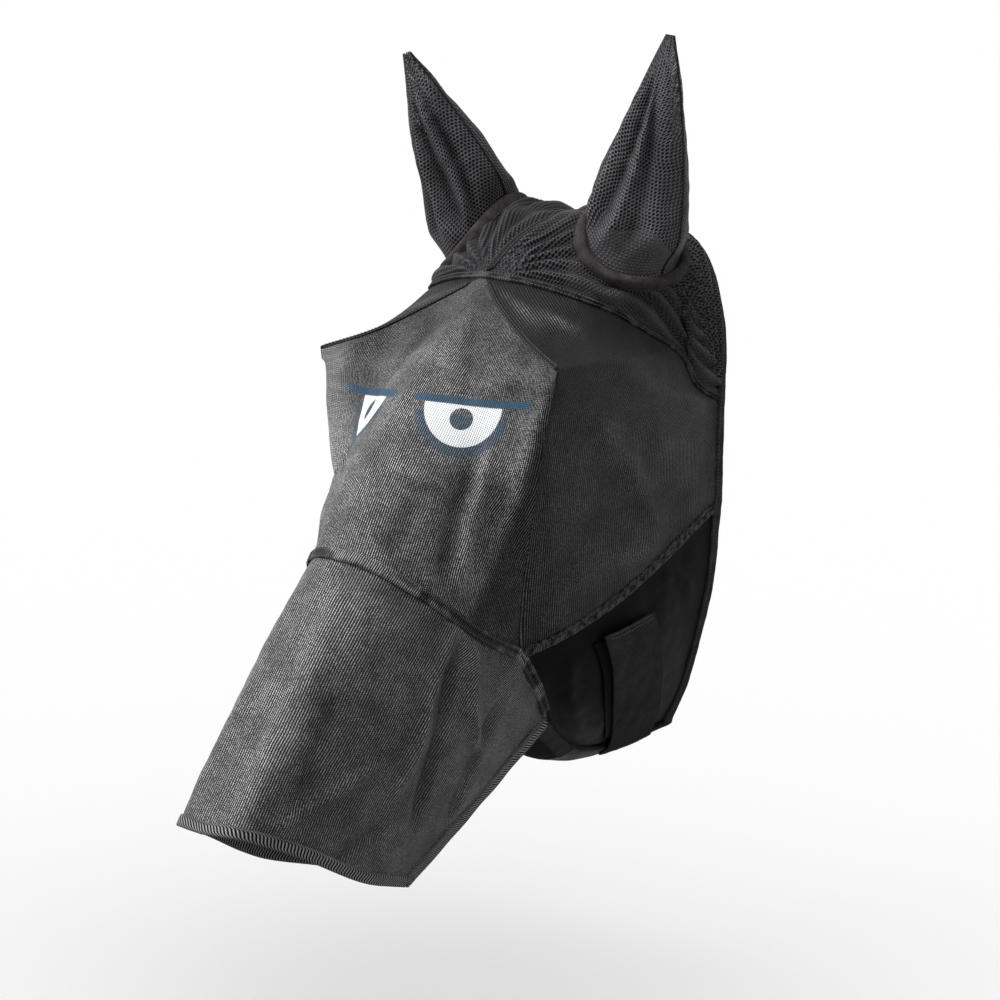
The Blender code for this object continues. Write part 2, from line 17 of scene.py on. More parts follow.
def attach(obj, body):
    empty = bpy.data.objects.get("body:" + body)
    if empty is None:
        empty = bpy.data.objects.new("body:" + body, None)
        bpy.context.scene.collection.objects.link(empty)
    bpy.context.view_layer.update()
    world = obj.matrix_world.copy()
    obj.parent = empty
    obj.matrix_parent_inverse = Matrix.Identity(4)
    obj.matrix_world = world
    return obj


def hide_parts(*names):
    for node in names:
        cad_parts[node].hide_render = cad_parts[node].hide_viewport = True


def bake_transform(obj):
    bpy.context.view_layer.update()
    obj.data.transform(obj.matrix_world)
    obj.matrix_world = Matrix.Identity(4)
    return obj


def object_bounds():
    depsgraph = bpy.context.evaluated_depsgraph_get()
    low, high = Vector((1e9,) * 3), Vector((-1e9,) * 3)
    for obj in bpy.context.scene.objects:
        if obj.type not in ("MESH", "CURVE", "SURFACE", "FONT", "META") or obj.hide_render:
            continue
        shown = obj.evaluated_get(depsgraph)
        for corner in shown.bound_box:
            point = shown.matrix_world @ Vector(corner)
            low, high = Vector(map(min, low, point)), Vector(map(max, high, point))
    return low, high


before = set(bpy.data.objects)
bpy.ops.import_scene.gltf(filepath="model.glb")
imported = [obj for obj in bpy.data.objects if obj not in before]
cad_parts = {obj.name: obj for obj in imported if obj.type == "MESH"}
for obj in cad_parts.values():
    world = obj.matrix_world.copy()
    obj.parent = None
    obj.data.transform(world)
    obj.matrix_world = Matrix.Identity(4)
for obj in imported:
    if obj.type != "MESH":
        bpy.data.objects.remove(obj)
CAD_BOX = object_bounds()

MM = 0.001
# Steps of a fine curve to each one of the same curve in the solids.
FINE = 6

# The head's landmarks on the left half.
HEAD_CENTRE = np.array((0.0, -110.0, -210.0))
BROW = (0, -133, -38)
CROWN_REAR = (0, 50, -8)
NOSE_TOP = (0, -322, -249)
HEM_TOP = (0, -473, -449)
DART_TIP = (130, -196, -102)
SEAM_CORNER = (99, -42, -84)
REAR_HIGH = (98, 75, -157)
REAR_LOW = (97, 74, -243)
CHEEK_FRONT = (76, -177, -345)
NOSE_LOW = (56, -114, -418)
JAW_FRONT = (40, -66, -449)
JAW_REAR = (45, 73, -450)
HEM_CORNER = (50, -288, -524)

# Seam and edge curves, each from landmark to landmark, with the number of coarse points along it.
CROWN = [BROW, (0, -90, -11), (0, -40, 5), (0, 8, 6), CROWN_REAR]
FOREHEAD = [BROW, (0, -185, -84), (0, -236, -130), (0, -283, -189), NOSE_TOP]
NOSE_RIDGE = [NOSE_TOP, (0, -400, -352), HEM_TOP]
POLL_SEAM_FRONT = [BROW, (42, -124, -43), (80, -108, -54), (94, -78, -66), SEAM_CORNER]
POLL_SEAM_SIDE = [SEAM_CORNER, (101, 10, -110), (100, 30, -136), REAR_HIGH]
DART = [BROW, (35, -155, -60), (85, -177, -86), DART_TIP]
TENT_RIDGE = [DART_TIP, (112, -200, -200), (92, -192, -285), CHEEK_FRONT]
REAR_TOP = [CROWN_REAR, (38, 62, -8), (70, 77, -24), (92, 82, -90), REAR_HIGH]
REAR_MIDDLE = [REAR_HIGH, REAR_LOW]
REAR_BOTTOM = [REAR_LOW, (92, 70, -315), (80, 67, -370), (62, 71, -418), JAW_REAR]
CHEEK_SEAM = [REAR_LOW, (99, 25, -265), (100, -30, -290), (97, -82, -313), (89, -135, -332), CHEEK_FRONT]
NOSE_SEAM = [NOSE_TOP, (22, -317, -252), (42, -303, -263), (62, -272, -287), (73, -223, -322), CHEEK_FRONT]
NOSE_SIDE = [CHEEK_FRONT, (70, -146, -381), NOSE_LOW]
CHEEK_EDGE = [*NOSE_SIDE, JAW_FRONT]
JAW_LINE = [JAW_REAR, (40, 20, -457), (38, -30, -457), JAW_FRONT]
JAW_EDGE = [NOSE_LOW, (58, -194, -462), HEM_CORNER]
HEM = [HEM_TOP, (30, -468, -449), (50, -425, -467), (57, -350, -505), HEM_CORNER]

CROWN_COUNT = 8
SEAM_FRONT_COUNT = 7
SEAM_SIDE_COUNT = 4
REAR_MIDDLE_COUNT = 4
CHEEK_SEAM_COUNT = 9
DART_COUNT = 8
TENT_COUNT = SEAM_FRONT_COUNT + SEAM_SIDE_COUNT + REAR_MIDDLE_COUNT + CHEEK_SEAM_COUNT - 2 - DART_COUNT
REAR_TOP_COUNT = 8
REAR_BOTTOM_COUNT = 9
NOSE_SIDE_COUNT = 5
SIDE_ROWS = 9
NOSE_LENGTH_COUNT = 13
POLL_ROWS = 6

# How far the panels' middles swell.
SIDE_PUSH = 8.0
CHEEK_PUSH = 8.0
NOSE_PUSH = 5.0
POLL_SWELL = 4.0

# Ears: the ring on the poll panel, its trim, and the sleeve.
EAR_CENTRE = np.array((80.0, -34.0, -16.0))
EAR_FACING = (0.68, -0.22, 0.70)
EAR_RING = (54.0, 48.0)
EAR_BEND = 4.0
TRIM_INSET = 4.6
TRIM_HALF_WIDTH = 5.4
TRIM_HALF_HEIGHT = 8.0
SLEEVE_LENGTH = 180.0
SLEEVE_RADIUS = 46.0
SLEEVE_TAPER = 1.65
SLEEVE_TIP_RADIUS = 3.6
SLEEVE_INSET = 8.2
SLEEVE_RISE = 4.0
SLEEVE_SPREAD = 34.0
SLEEVE_DEPTH = 0.95
SLEEVE_WIDTH = 1.04
SLEEVE_LEAN = 9.0
EAR_PITCH = {"left": 4.5, "right": -24.5}

# Bindings and tapes.
REAR_WIDTH = 11.0
JAW_BINDING_WIDTH = 14.0
HEM_WIDTH = 10.0
JAW_HEM_WIDTH = 14.0
STITCH_PITCH = 3.4
STITCH_LENGTH = 2.3
STITCH_RADIUS = 0.33
STITCH_SIDES = 6
STITCH_LIFT = 0.05
# A stitch's rings: place along it, height and size, as shares of its length and its radius.
STITCH_SHAPE = ((-0.5, -0.9, 0.25), (-0.34, 0.1, 0.9), (0.0, 0.35, 1.0), (0.34, 0.1, 0.9), (0.5, -0.9, 0.25))
BAND_STEP = 1.1
PUCKER_PITCH = 5.5
HEM_STATIONS = 260
REAR_STATIONS = 300
# The sewn line along a roll: how deep it draws the section in, and its half width in radians.
GROOVE_DEPTH = 0.22
GROOVE_WIDTH = 0.16

# Closure.
FLAP_CLEAR = 1.2
FLAP_DROP = 14.0
FLAP_ROWS = 61
LAP_OUT = 1.6
LAP_UP = 4.5
TAB_CORNERS = ((0.45, 0.19), (0.70, 0.13), (0.22, 1.0), (0.62, 1.0))
TAB_CLEAR = 3.4
TAB_ROWS = 90
TAB_COLUMNS = 44
TAB_TURN = 6.5
TAB_FOOT = (0.975, 0.87)
FOOT_ROWS = 12
FOOT_CLEAR = 2.1
PAD_CORNERS = ((0.48, 0.24), (0.74, 0.15), (0.30, 0.88), (0.67, 0.90))
PAD_CLEAR = 1.5

# The camera looks at a point below the poll from the left front.
CAMERA_AZIMUTH = 40.0
CAMERA_ELEVATION = 9.0
CAMERA_DISTANCE = 2.6
CAMERA_LENS = 107.6
CAMERA_TARGET = (-0.031, -0.0754, -0.2387)
FLOOR_HALF = 300.0
FLOOR_DROP = 0.12


# ---- Curves and grids of points ----


def unit(vector):
    return np.asarray(vector, float) / np.linalg.norm(vector)


def units(vectors):
    return vectors / np.maximum(np.linalg.norm(vectors, axis=-1, keepdims=True), 1e-9)


def smooth_step(value, low, high):
    share = np.clip((value - low) / (high - low), 0, 1)
    return share * share * (3 - 2 * share)


def fine(count):
    """Points along a curve that has this many in the solids."""
    return (count - 1) * FINE + 1


def lengths_along(line):
    return np.concatenate([[0], np.cumsum(np.linalg.norm(np.diff(line, axis=0), axis=1))])


def along(line, distances):
    """Points at the given distances along a line."""
    travelled = lengths_along(line)
    return np.stack([np.interp(distances, travelled, line[:, axis]) for axis in range(3)], axis=-1)


def smooth_line(points, count):
    """Evenly spaced points on a smooth curve through the given ones."""
    knots = np.array(points, float)
    if len(knots) == 2:
        return np.linspace(knots[0], knots[1], count)
    place = np.concatenate([[0], np.cumsum(np.sqrt(np.linalg.norm(np.diff(knots, axis=0), axis=1)))])
    slope = np.gradient(knots, place, axis=0)
    step = np.linspace(0, 1, 60, endpoint=False)[:, None]
    pieces = []
    for i, span in enumerate(np.diff(place)):
        start = (1 + 2 * step) * (1 - step) ** 2 * knots[i] + step * (1 - step) ** 2 * span * slope[i]
        end = step**2 * (3 - 2 * step) * knots[i + 1] + step**2 * (step - 1) * span * slope[i + 1]
        pieces.append(start + end)
    dense = np.vstack(pieces + [knots[-1:]])
    return along(dense, np.linspace(0, lengths_along(dense)[-1], count))


def join(*lines):
    return np.vstack([lines[0]] + [line[1:] for line in lines[1:]])


def blend_edges(bottom, top, left, right, push=0.0):
    """A grid that blends four edge curves; push moves its middle sideways. Rows run from bottom to top."""
    across = np.linspace(0, 1, len(bottom))[None, :, None]
    up = np.linspace(0, 1, len(left))[:, None, None]
    grid = (1 - up) * bottom[None] + up * top[None] + (1 - across) * left[:, None] + across * right[:, None]
    grid -= (1 - across) * (1 - up) * bottom[0] + across * (1 - up) * bottom[-1]
    grid -= (1 - across) * up * top[0] + across * up * top[-1]
    return grid + 16 * across * (1 - across) * up * (1 - up) * np.array((push, 0, 0))


def lens(inner, outer, rows, push):
    """A grid between two lines that share both ends, with its middle pushed sideways."""
    out = np.linspace(0, 1, rows)[:, None, None]
    on = np.linspace(0, 1, len(inner))[None, :, None]
    return (1 - out) * inner + out * outer + 16 * out * (1 - out) * on * (1 - on) * np.array((push, 0, 0))


def nearest_on(points, path):
    """Each point's distance to a line of straight stretches, and the fraction along it where it is nearest."""
    near = np.full(points.shape[:-1], np.inf)
    place = np.zeros(points.shape[:-1])
    travelled = lengths_along(path)
    for so_far, start, end in zip(travelled, path[:-1], path[1:]):
        run = end - start
        share = np.clip((points - start) @ run / max(run @ run, 1e-9), 0, 1)
        gap = np.linalg.norm(points - start - share[..., None] * run, axis=-1)
        closer = gap < near
        near = np.where(closer, gap, near)
        place = np.where(closer, so_far + share * np.linalg.norm(run), place)
    return near, place / travelled[-1]


def distance_to(points, path):
    return nearest_on(points, path)[0]


def inset_row(grid, side, distance):
    """The row of points at one distance in from a side of a grid, measured along the lines that leave it."""
    lines = {
        "bottom": grid.transpose(1, 0, 2),
        "top": grid[::-1].transpose(1, 0, 2),
        "left": grid,
        "right": grid[:, ::-1],
    }[side]
    edge = lines[:, 0]
    found = []
    for line in lines:
        reach = np.linspace(0, min(lengths_along(line)[-1], 6 * distance), 120)
        tried = along(line, reach)
        clear = distance_to(tried, edge) >= distance
        found.append(tried[np.argmax(clear)] if clear.any() else tried[-1])
    return np.array(found)


def normals_of(grid, centre=HEAD_CENTRE):
    """Unit normals of a grid, pointing away from centre."""
    normals = units(np.cross(np.gradient(grid, axis=0), np.gradient(grid, axis=1)))
    if ((grid - np.asarray(centre)) * normals).sum() < 0:
        normals = -normals
    return normals


def sample(grid, across, up):
    """Points of a grid at fractions across and up."""
    column = np.clip(across, 0, 1) * (grid.shape[1] - 1)
    row = np.clip(up, 0, 1) * (grid.shape[0] - 1)
    c = np.minimum(column.astype(int), grid.shape[1] - 2)
    r = np.minimum(row.astype(int), grid.shape[0] - 2)
    fc = (column - c)[..., None]
    fr = (row - r)[..., None]
    low = (1 - fc) * grid[r, c] + fc * grid[r, c + 1]
    high = (1 - fc) * grid[r + 1, c] + fc * grid[r + 1, c + 1]
    return (1 - fr) * low + fr * high


def cloud(points, size, seed=0.0):
    """Smooth noise from -1 to 1 at each point, with lumps of about the given size."""
    flat = points.reshape(-1, 3) / size + seed
    return np.array([noise.noise(Vector(p)) for p in flat]).reshape(points.shape[:-1])


def fold(points, path, height, width, ends=0.25):
    """How far a soft fold along a path lifts each point: height at its middle, fading towards its ends."""
    near, place = nearest_on(points, path)
    fade = smooth_step(place, 0, ends) * smooth_step(1 - place, 0, ends)
    return height * fade * np.exp(-((near / width) ** 2))


# ---- The net of seams ----


def seam_net():
    """The left half's full panels at the scene's fineness."""
    seam_front = smooth_line(POLL_SEAM_FRONT, fine(SEAM_FRONT_COUNT))
    seam_side = smooth_line(POLL_SEAM_SIDE, fine(SEAM_SIDE_COUNT))
    dart = smooth_line(DART, fine(DART_COUNT))
    tent = smooth_line(TENT_RIDGE, fine(TENT_COUNT))
    cheek_seam = smooth_line(CHEEK_SEAM, fine(CHEEK_SEAM_COUNT))
    nose_seam = smooth_line(NOSE_SEAM, fine(DART_COUNT))
    nose_side = smooth_line(NOSE_SIDE, fine(NOSE_SIDE_COUNT))
    crown = smooth_line(CROWN, fine(CROWN_COUNT))
    rear_top = smooth_line(REAR_TOP, fine(REAR_TOP_COUNT))
    rear_middle = smooth_line(REAR_MIDDLE, fine(REAR_MIDDLE_COUNT))
    rear_bottom = smooth_line(REAR_BOTTOM, fine(REAR_BOTTOM_COUNT))
    side_edge = join(seam_front, seam_side, rear_middle, cheek_seam)
    return {
        "front": blend_edges(dart, nose_seam, smooth_line(FOREHEAD, len(tent)), tent),
        "side": lens(join(dart, tent), side_edge, fine(SIDE_ROWS), SIDE_PUSH),
        "cheek": blend_edges(
            cheek_seam,
            smooth_line(JAW_LINE, len(cheek_seam)),
            rear_bottom,
            smooth_line(CHEEK_EDGE, len(rear_bottom)),
            CHEEK_PUSH,
        ),
        "nose": blend_edges(
            join(nose_seam, nose_side),
            smooth_line(HEM, len(nose_seam) + len(nose_side) - 1),
            smooth_line(NOSE_RIDGE, fine(NOSE_LENGTH_COUNT)),
            smooth_line(JAW_EDGE, fine(NOSE_LENGTH_COUNT)),
            NOSE_PUSH,
        ),
        "poll": poll_grid(join(crown[::-1], seam_front, seam_side, rear_top[::-1])),
        "rear": join(rear_top, rear_middle, rear_bottom),
        "crown": crown,
        "tent": tent,
        "dart": dart,
    }


def ear_frame():
    """The ear ring's normal, its rearward axis and its axis up and in towards the crown."""
    facing = unit(EAR_FACING)
    rearward = unit(np.array((0, 1, 0)) - facing[1] * facing)
    return facing, rearward, np.cross(facing, rearward)


def ear_ring(angles, grow=0.0):
    """Points round the ear opening, grow outside its edge, from angle 0 at the rear to 90 degrees at the crown."""
    facing, rearward, crownward = ear_frame()
    turn = np.asarray(angles)[..., None]
    ring = EAR_CENTRE + (EAR_RING[0] + grow) * np.cos(turn) * rearward
    ring = ring + (EAR_RING[1] + grow) * np.sin(turn) * crownward
    return ring - EAR_BEND * np.cos(2 * turn) * facing


def ear_angles(outline):
    """The angle round the ear ring that each point of an outline faces."""
    _, rearward, crownward = ear_frame()
    offset = outline - EAR_CENTRE
    return np.arctan2(offset @ crownward / EAR_RING[1], offset @ rearward / EAR_RING[0])


def poll_grid(outline):
    """The poll panel: rows from the ear opening out to a closed outline, each point facing its own angle."""
    share = np.linspace(0, 1, fine(POLL_ROWS))[:, None, None]
    swell = 4 * share * (1 - share) * POLL_SWELL * ear_frame()[0]
    return (1 - share) * ear_ring(ear_angles(outline), -TRIM_INSET) + share * outline + swell


def sleeve_grid(pitch, start, end, columns=61, rows=90):
    """A left ear sleeve's surface between two angles round it, from the ear trim up to the tip, and its axis."""
    lean = math.radians(SLEEVE_LEAN)
    tilt = math.radians(pitch)
    axis = np.array((math.sin(lean), math.cos(lean) * math.sin(tilt), math.cos(lean) * math.cos(tilt)))
    rearward = unit(np.array((0, 1, 0)) - axis[1] * axis)
    inwards = np.cross(axis, rearward)
    angles = np.radians(np.linspace(start, end, columns))
    around = np.cos(angles)[:, None] * rearward * SLEEVE_DEPTH
    around = around + np.sin(angles)[:, None] * inwards * SLEEVE_WIDTH
    base = ear_ring(angles, -SLEEVE_INSET) - EAR_CENTRE
    base_height = base @ axis
    base_round = base - base_height[:, None] * axis
    made = []
    for share in np.linspace(0, 1, rows):
        height = base_height + share * (SLEEVE_LENGTH - base_height)
        taper = 1 - np.clip(height / SLEEVE_LENGTH, 0, 1) ** SLEEVE_TAPER
        radius = SLEEVE_TIP_RADIUS + (SLEEVE_RADIUS - SLEEVE_TIP_RADIUS) * taper
        spread = smooth_step(height - base_height - SLEEVE_RISE, 0, SLEEVE_SPREAD)[:, None]
        wall = (1 - spread) * base_round + spread * radius[:, None] * around
        made.append(EAR_CENTRE + height[:, None] * axis + wall)
    return np.array(made), axis


# ---- Materials ----


class Wire:
    """A value carried between a material's nodes; sums with it make the nodes that work them out."""

    def __init__(self, tree, socket):
        self.tree = tree
        self.socket = socket

    def math(self, operation, *others, first=()):
        made = node(self.tree, "Math", enumerate((*first, self, *others)), operation=operation)
        return Wire(self.tree, made.outputs[0])

    def __add__(self, other):
        return self.math("ADD", other)

    def __mul__(self, other):
        return self.math("MULTIPLY", other)

    def __sub__(self, other):
        return self.math("SUBTRACT", other)

    def __rsub__(self, other):
        return self.math("SUBTRACT", first=(other,))

    def __truediv__(self, other):
        return self.math("DIVIDE", other)

    def ramp(self, low, high):
        """0 below low, 1 above high, smooth between. Give high below low for the reverse."""
        ends = (low, high, 0.0, 1.0) if low < high else (high, low, 1.0, 0.0)
        inputs = zip(("Value", "From Min", "From Max", "To Min", "To Max"), (self, *ends))
        made = node(self.tree, "MapRange", inputs, interpolation_type="SMOOTHSTEP")
        return Wire(self.tree, made.outputs["Result"])

    def blend(self, *colours):
        """The first colour where this is 0 and the second where it is 1."""
        colours = [(*c, 1) if isinstance(c, tuple) else c for c in colours]
        inputs = zip(("Factor", *MIX_COLOUR_INPUTS), (self, *colours))
        made = node(self.tree, "Mix", inputs, data_type="RGBA")
        return Wire(self.tree, made.outputs[MIX_COLOUR_OUTPUT])


# A mix node's sockets for colours, which share their names with its sockets for numbers.
MIX_COLOUR_INPUTS = (6, 7)
MIX_COLOUR_OUTPUT = 2


def node(tree, kind, inputs=(), **settings):
    """A new node with its settings, and its inputs linked to wires or set to values."""
    made = tree.nodes.new("ShaderNode" + kind)
    for name, value in settings.items():
        setattr(made, name, value)
    for key, value in inputs:
        connect(tree, made.inputs[key], value)
    return made


def connect(tree, socket, value):
    if isinstance(value, Wire):
        tree.links.new(value.socket, socket)
    else:
        socket.default_value = value


class Fabric:
    """A material and the nodes that its values start from."""

    def __init__(self, name, colour, roughness, specular=0.0, sheen=0.0, sheen_tint=(1, 1, 1)):
        self.material = bpy.data.materials.new(name)
        self.material.use_nodes = True
        self.tree = self.material.node_tree
        self.set("Base Color", (*colour, 1))
        self.set("Roughness", roughness)
        self.set("Specular IOR Level", specular)
        self.set("Sheen Weight", sheen)
        self.set("Sheen Roughness", 0.45)
        self.set("Sheen Tint", (*sheen_tint, 1))

    def set(self, name, value):
        connect(self.tree, self.tree.nodes["Principled BSDF"].inputs[name], value)

    def paint(self, share, *colours):
        self.set("Base Color", share.blend(*colours))

    def parts(self, source, count, scale):
        """The first parts of a vector, each times scale."""
        outputs = node(self.tree, "SeparateXYZ", ((0, source),)).outputs
        return [Wire(self.tree, outputs[i]) * scale for i in range(count)]

    def uv(self, layer="weave", scale=1 / MM):
        """The cloth's own coordinates across and along it, in millimetres, or another layer's two values."""
        return self.parts(Wire(self.tree, node(self.tree, "UVMap", uv_map=layer).outputs[0]), 2, scale)

    def pull(self):
        """How far the cloth is stretched open, and its painted shading: how far its threads' colour is lightened as
        painted highlight or darkened as painted shade.
        """
        return self.uv("stretch", 1.0)

    def where(self):
        return Wire(self.tree, node(self.tree, "TexCoord").outputs["Object"])

    def place(self):
        """The row frame's coordinates in millimetres."""
        return self.parts(self.where(), 3, 1 / MM)

    def noise(self, size, detail=2.0, rough=0.5):
        """Noise from 0 to 1 in the row frame, with lumps of about size millimetres."""
        inputs = {"Vector": self.where(), "Scale": 1 / MM / size, "Detail": detail, "Roughness": rough}
        return Wire(self.tree, node(self.tree, "TexNoise", inputs.items()).outputs["Fac"])

    def bump(self, height, depth, strength=1.0):
        inputs = {"Height": height, "Distance": depth * MM, "Strength": strength}
        self.set("Normal", Wire(self.tree, node(self.tree, "Bump", inputs.items()).outputs["Normal"]))


def wave(value, pitch):
    """A cosine from 0 to 1 that repeats each pitch."""
    return (value * (2 * math.pi / pitch)).math("COSINE") * 0.5 + 0.5


def toned(tone, *colours):
    return [tuple(tone * c for c in colour) for colour in colours]


def ribbed_mesh(name, rib, cross, tone, roughness, specular, printed=False):
    """A fine warp-knit mesh: smooth ribs along it, tied by finer threads, with small openings between."""
    fabric = Fabric(name, (0.014, 0.014, 0.015), roughness, specular)
    u, v = fabric.uv()
    stretch, painted_shading = fabric.pull()
    u = u + fabric.noise(60.0, 1.0) * 1.6
    ribs = wave(u, rib)
    half_turn = (u / rib).math("FLOOR") * math.pi
    ties = (v * (2 * math.pi / cross) + half_turn).math("COSINE") * 0.5 + 0.5
    gap = ribs.ramp(0.62, 0.30) * ties.ramp(0.80, 0.45)
    thin = stretch * stretch * 0.38
    fabric.set("Alpha", 1.0 - (gap * stretch).math("MAXIMUM", thin))
    sparkle = fabric.noise(1.5, 2.0, 0.7)
    clouds = fabric.noise(26.0, 3.0, 0.6)
    height = ribs.math("MAXIMUM", ties * 0.6)
    fabric.bump(height, 0.5)
    # Painted sheen: the pale colour on the rib and tie tops, with painted glints from the sparkle noise, stands in
    # for the dark yarn's shine; the painted shading lightens or darkens it, and the clouds vary it at random.
    lit = ribs.ramp(0.45, 0.95) * (ties.ramp(0.3, 0.9) * 0.8 + 0.2)
    lit = lit * (sparkle.ramp(0.36, 0.66) * 0.80 + 0.25) * (clouds.ramp(0.25, 0.75) * 0.5 + 0.50) * painted_shading
    colour = lit.blend((0.0018, 0.0018, 0.0019), *toned(tone, (0.215, 0.212, 0.216)))
    if printed:
        colour = eye_print(fabric, colour, height.ramp(0.05, 0.35))
    fabric.set("Base Color", colour)
    fabric.set("Roughness", sparkle * 0.16 + (roughness - 0.06))
    return fabric.material


# The printed eye: a plain half-round eye under a straight lid line, on each side of the forehead.
EYE_MIDDLE = (47.5, -214.5, -136.0)
EYE_ALONG = (0.854, 0.512, -0.093)
EYE_DOWN = (0.079, -0.301, -0.950)
EYE_HALF = 32.0
EYE_DEPTH = 36.0
PUPIL_RADIUS = 9.5
PUPIL_DROP = 12.0
SOCKET_INK = (0.012, 0.030, 0.050)
LID_INK = (0.014, 0.036, 0.062)
WHITE_INK = (0.42, 0.43, 0.44)


def eye_print(fabric, cloth, ink):
    """Paints the eye over the cloth's colour, on the raised threads only."""
    x, y, z = fabric.place()
    away = [axis - middle for axis, middle in zip((x.math("ABSOLUTE"), y, z), EYE_MIDDLE)]
    across, down = (away[0] * way[0] + away[1] * way[1] + away[2] * way[2] for way in (EYE_ALONG, EYE_DOWN))
    p, q = across / EYE_HALF, down / EYE_DEPTH
    square = p * p + q * q
    drop = down - PUPIL_DROP
    pupil = (across * across + drop * drop).ramp(PUPIL_RADIUS**2 * 1.06, PUPIL_RADIUS**2 * 0.94)
    white = square.ramp(1.03, 0.97) * down.ramp(-0.7, 0.7) * (1.0 - pupil)
    lid = down.ramp(-7.5, -6.3) * down.ramp(0.2, -1.0) * (across.ramp(-43.0, -40.0) * across.ramp(58.0, 54.0))
    socket = square.ramp(1.62, 1.45) * down.ramp(4.0, 12.0)
    worn = fabric.noise(3.0) * 0.25 + 0.80
    colour = (socket * 0.55 * ink).blend(cloth, SOCKET_INK)
    colour = (lid * 0.85 * ink).blend(colour, LID_INK)
    return (white * ink * worn).blend(colour, WHITE_INK)


def knit_mesh(name, pitch, hole, openness, tone, squeeze, vary=0.0):
    """A coarse knit with round holes in staggered rows; vary opens them further up the cloth."""
    fabric = Fabric(name, (0.012, 0.012, 0.013), 0.5, 0.06)
    u, v = fabric.uv()
    row = v / (pitch * squeeze)
    column = u / pitch + row.math("FLOOR").math("FLOORED_MODULO", 2.0) * 0.5
    dx = column.math("FRACT") - 0.5
    dy = (row.math("FRACT") - 0.5) * squeeze
    radius = (dx * dx + dy * dy).math("SQRT")
    uneven = fabric.noise(2.4, 3.0, 0.7)
    clouds = fabric.noise(24.0, 3.0, 0.6)
    gap = (radius - (uneven - 0.5) * 0.07).ramp(hole * 1.15, hole * 0.85)
    stretch, painted_shading = fabric.pull()
    share = stretch + openness
    if vary:
        share = v.ramp(90.0, 165.0) * vary + share
    fabric.set("Alpha", 1.0 - gap * share)
    fabric.bump(radius.ramp(hole * 0.7, 0.56), 0.9)
    # The strands' colour is scaled by the painted shading: paler on crests as painted highlight, darker in hollows as
    # painted shade.
    strands = radius.ramp(hole * 0.9, 0.50) * (uneven * 1.1 + 0.1) * (clouds + 0.3) * (painted_shading + 1.0)
    fabric.paint(strands, *toned(tone, (0.0024, 0.0024, 0.0028), (0.105, 0.103, 0.112)))
    return fabric.material


def fleece_cloth():
    """Short brown-black pile, a little paler on its high spots."""
    fabric = Fabric("fleece_pile", (0.03, 0.023, 0.022), 1.0, 0.0, 0.01, (0.36, 0.30, 0.30))
    tufts = fabric.noise(1.1, 5.0, 0.75)
    lumps = fabric.noise(9.0, 3.0, 0.6)
    tone = (tufts * 0.7 + lumps * 0.5).ramp(0.35, 0.85)
    fabric.paint(tone, (0.0095, 0.0080, 0.0082), (0.034, 0.0295, 0.0302))
    fabric.bump(tufts + lumps * 0.8, 1.0, 0.9)
    return fabric.material


def smooth_cloth():
    """The cheek's dense, smooth cloth with a soft shine and a fine plain weave."""
    fabric = Fabric("cheek_cloth", (0.008, 0.008, 0.009), 0.5, 0.03)
    u, v = fabric.uv()
    uneven = fabric.noise(22.0, 4.0, 0.55)
    fabric.bump(wave(u, 0.9) * wave(v, 0.9) * 0.35 + uneven, 0.5, 0.6)
    fabric.paint(uneven, (0.0005, 0.0005, 0.0006), (0.0021, 0.0020, 0.0022))
    fabric.set("Roughness", uneven * 0.22 + 0.36)
    return fabric.material


def woven_tape(name, pitch, slant, contrast, patchy=0.0):
    """Narrow tape with ribs across it: slant is how far they lean for each millimetre across.

    patchy is the length of the stretches where the ribs get more or less painted highlight.
    """
    fabric = Fabric(name, (0.012, 0.012, 0.013), 0.6, 0.03)
    u, v = fabric.uv()
    ribs = wave(u + v * slant, pitch)
    uneven = fabric.noise(2.2, 3.0, 0.6)
    fabric.bump(ribs + uneven * 0.4, 0.8)
    # Painted sheen: the rib tops are painted paler as highlight, scaled by contrast and, where patchy is given,
    # broken into patches of painted highlight and shade.
    lit = ribs.ramp(0.3, 0.95) * (uneven * 0.8 + 0.4)
    if patchy:
        lit = lit * (fabric.noise(patchy, 1.0).ramp(0.40, 0.64) * 0.82 + 0.18)
    fabric.paint(lit, (0.0014, 0.0014, 0.0016), *toned(contrast, (0.040, 0.040, 0.042)))
    return fabric.material


def loop_cloth():
    """The tab's loop face: matt, with a faint nap."""
    fabric = Fabric("loop_nap", (0.014, 0.014, 0.014), 0.95, 0.0, 0.01, (0.4, 0.4, 0.42))
    nap = fabric.noise(0.9, 4.0, 0.7)
    tone = (nap * 0.8 + fabric.noise(14.0, 3.0, 0.6) * 0.3).ramp(0.35, 0.80)
    fabric.paint(tone, (0.0075, 0.0075, 0.0074), (0.0250, 0.0248, 0.0244))
    fabric.bump(nap, 0.5)
    return fabric.material


def hook_cloth():
    """The hook pad: rows of stiff, shiny hooks with a little lint caught in them."""
    fabric = Fabric("hook_rows", (0.006, 0.006, 0.007), 0.5, 0.03)
    u, v = fabric.uv()
    fabric.bump(wave(u, 1.3) * wave(v, 1.1), 1.2)
    lint = fabric.noise(2.4, 4.0, 0.8).ramp(0.66, 0.74)
    fabric.paint(lint, (0.0015, 0.0015, 0.002), (0.10, 0.10, 0.095))
    return fabric.material


def thread():
    fabric = Fabric("thread", (0.035, 0.035, 0.037), 0.5, 0.08)
    fabric.paint(fabric.noise(2.0), (0.012, 0.012, 0.013), (0.085, 0.085, 0.088))
    return fabric.material


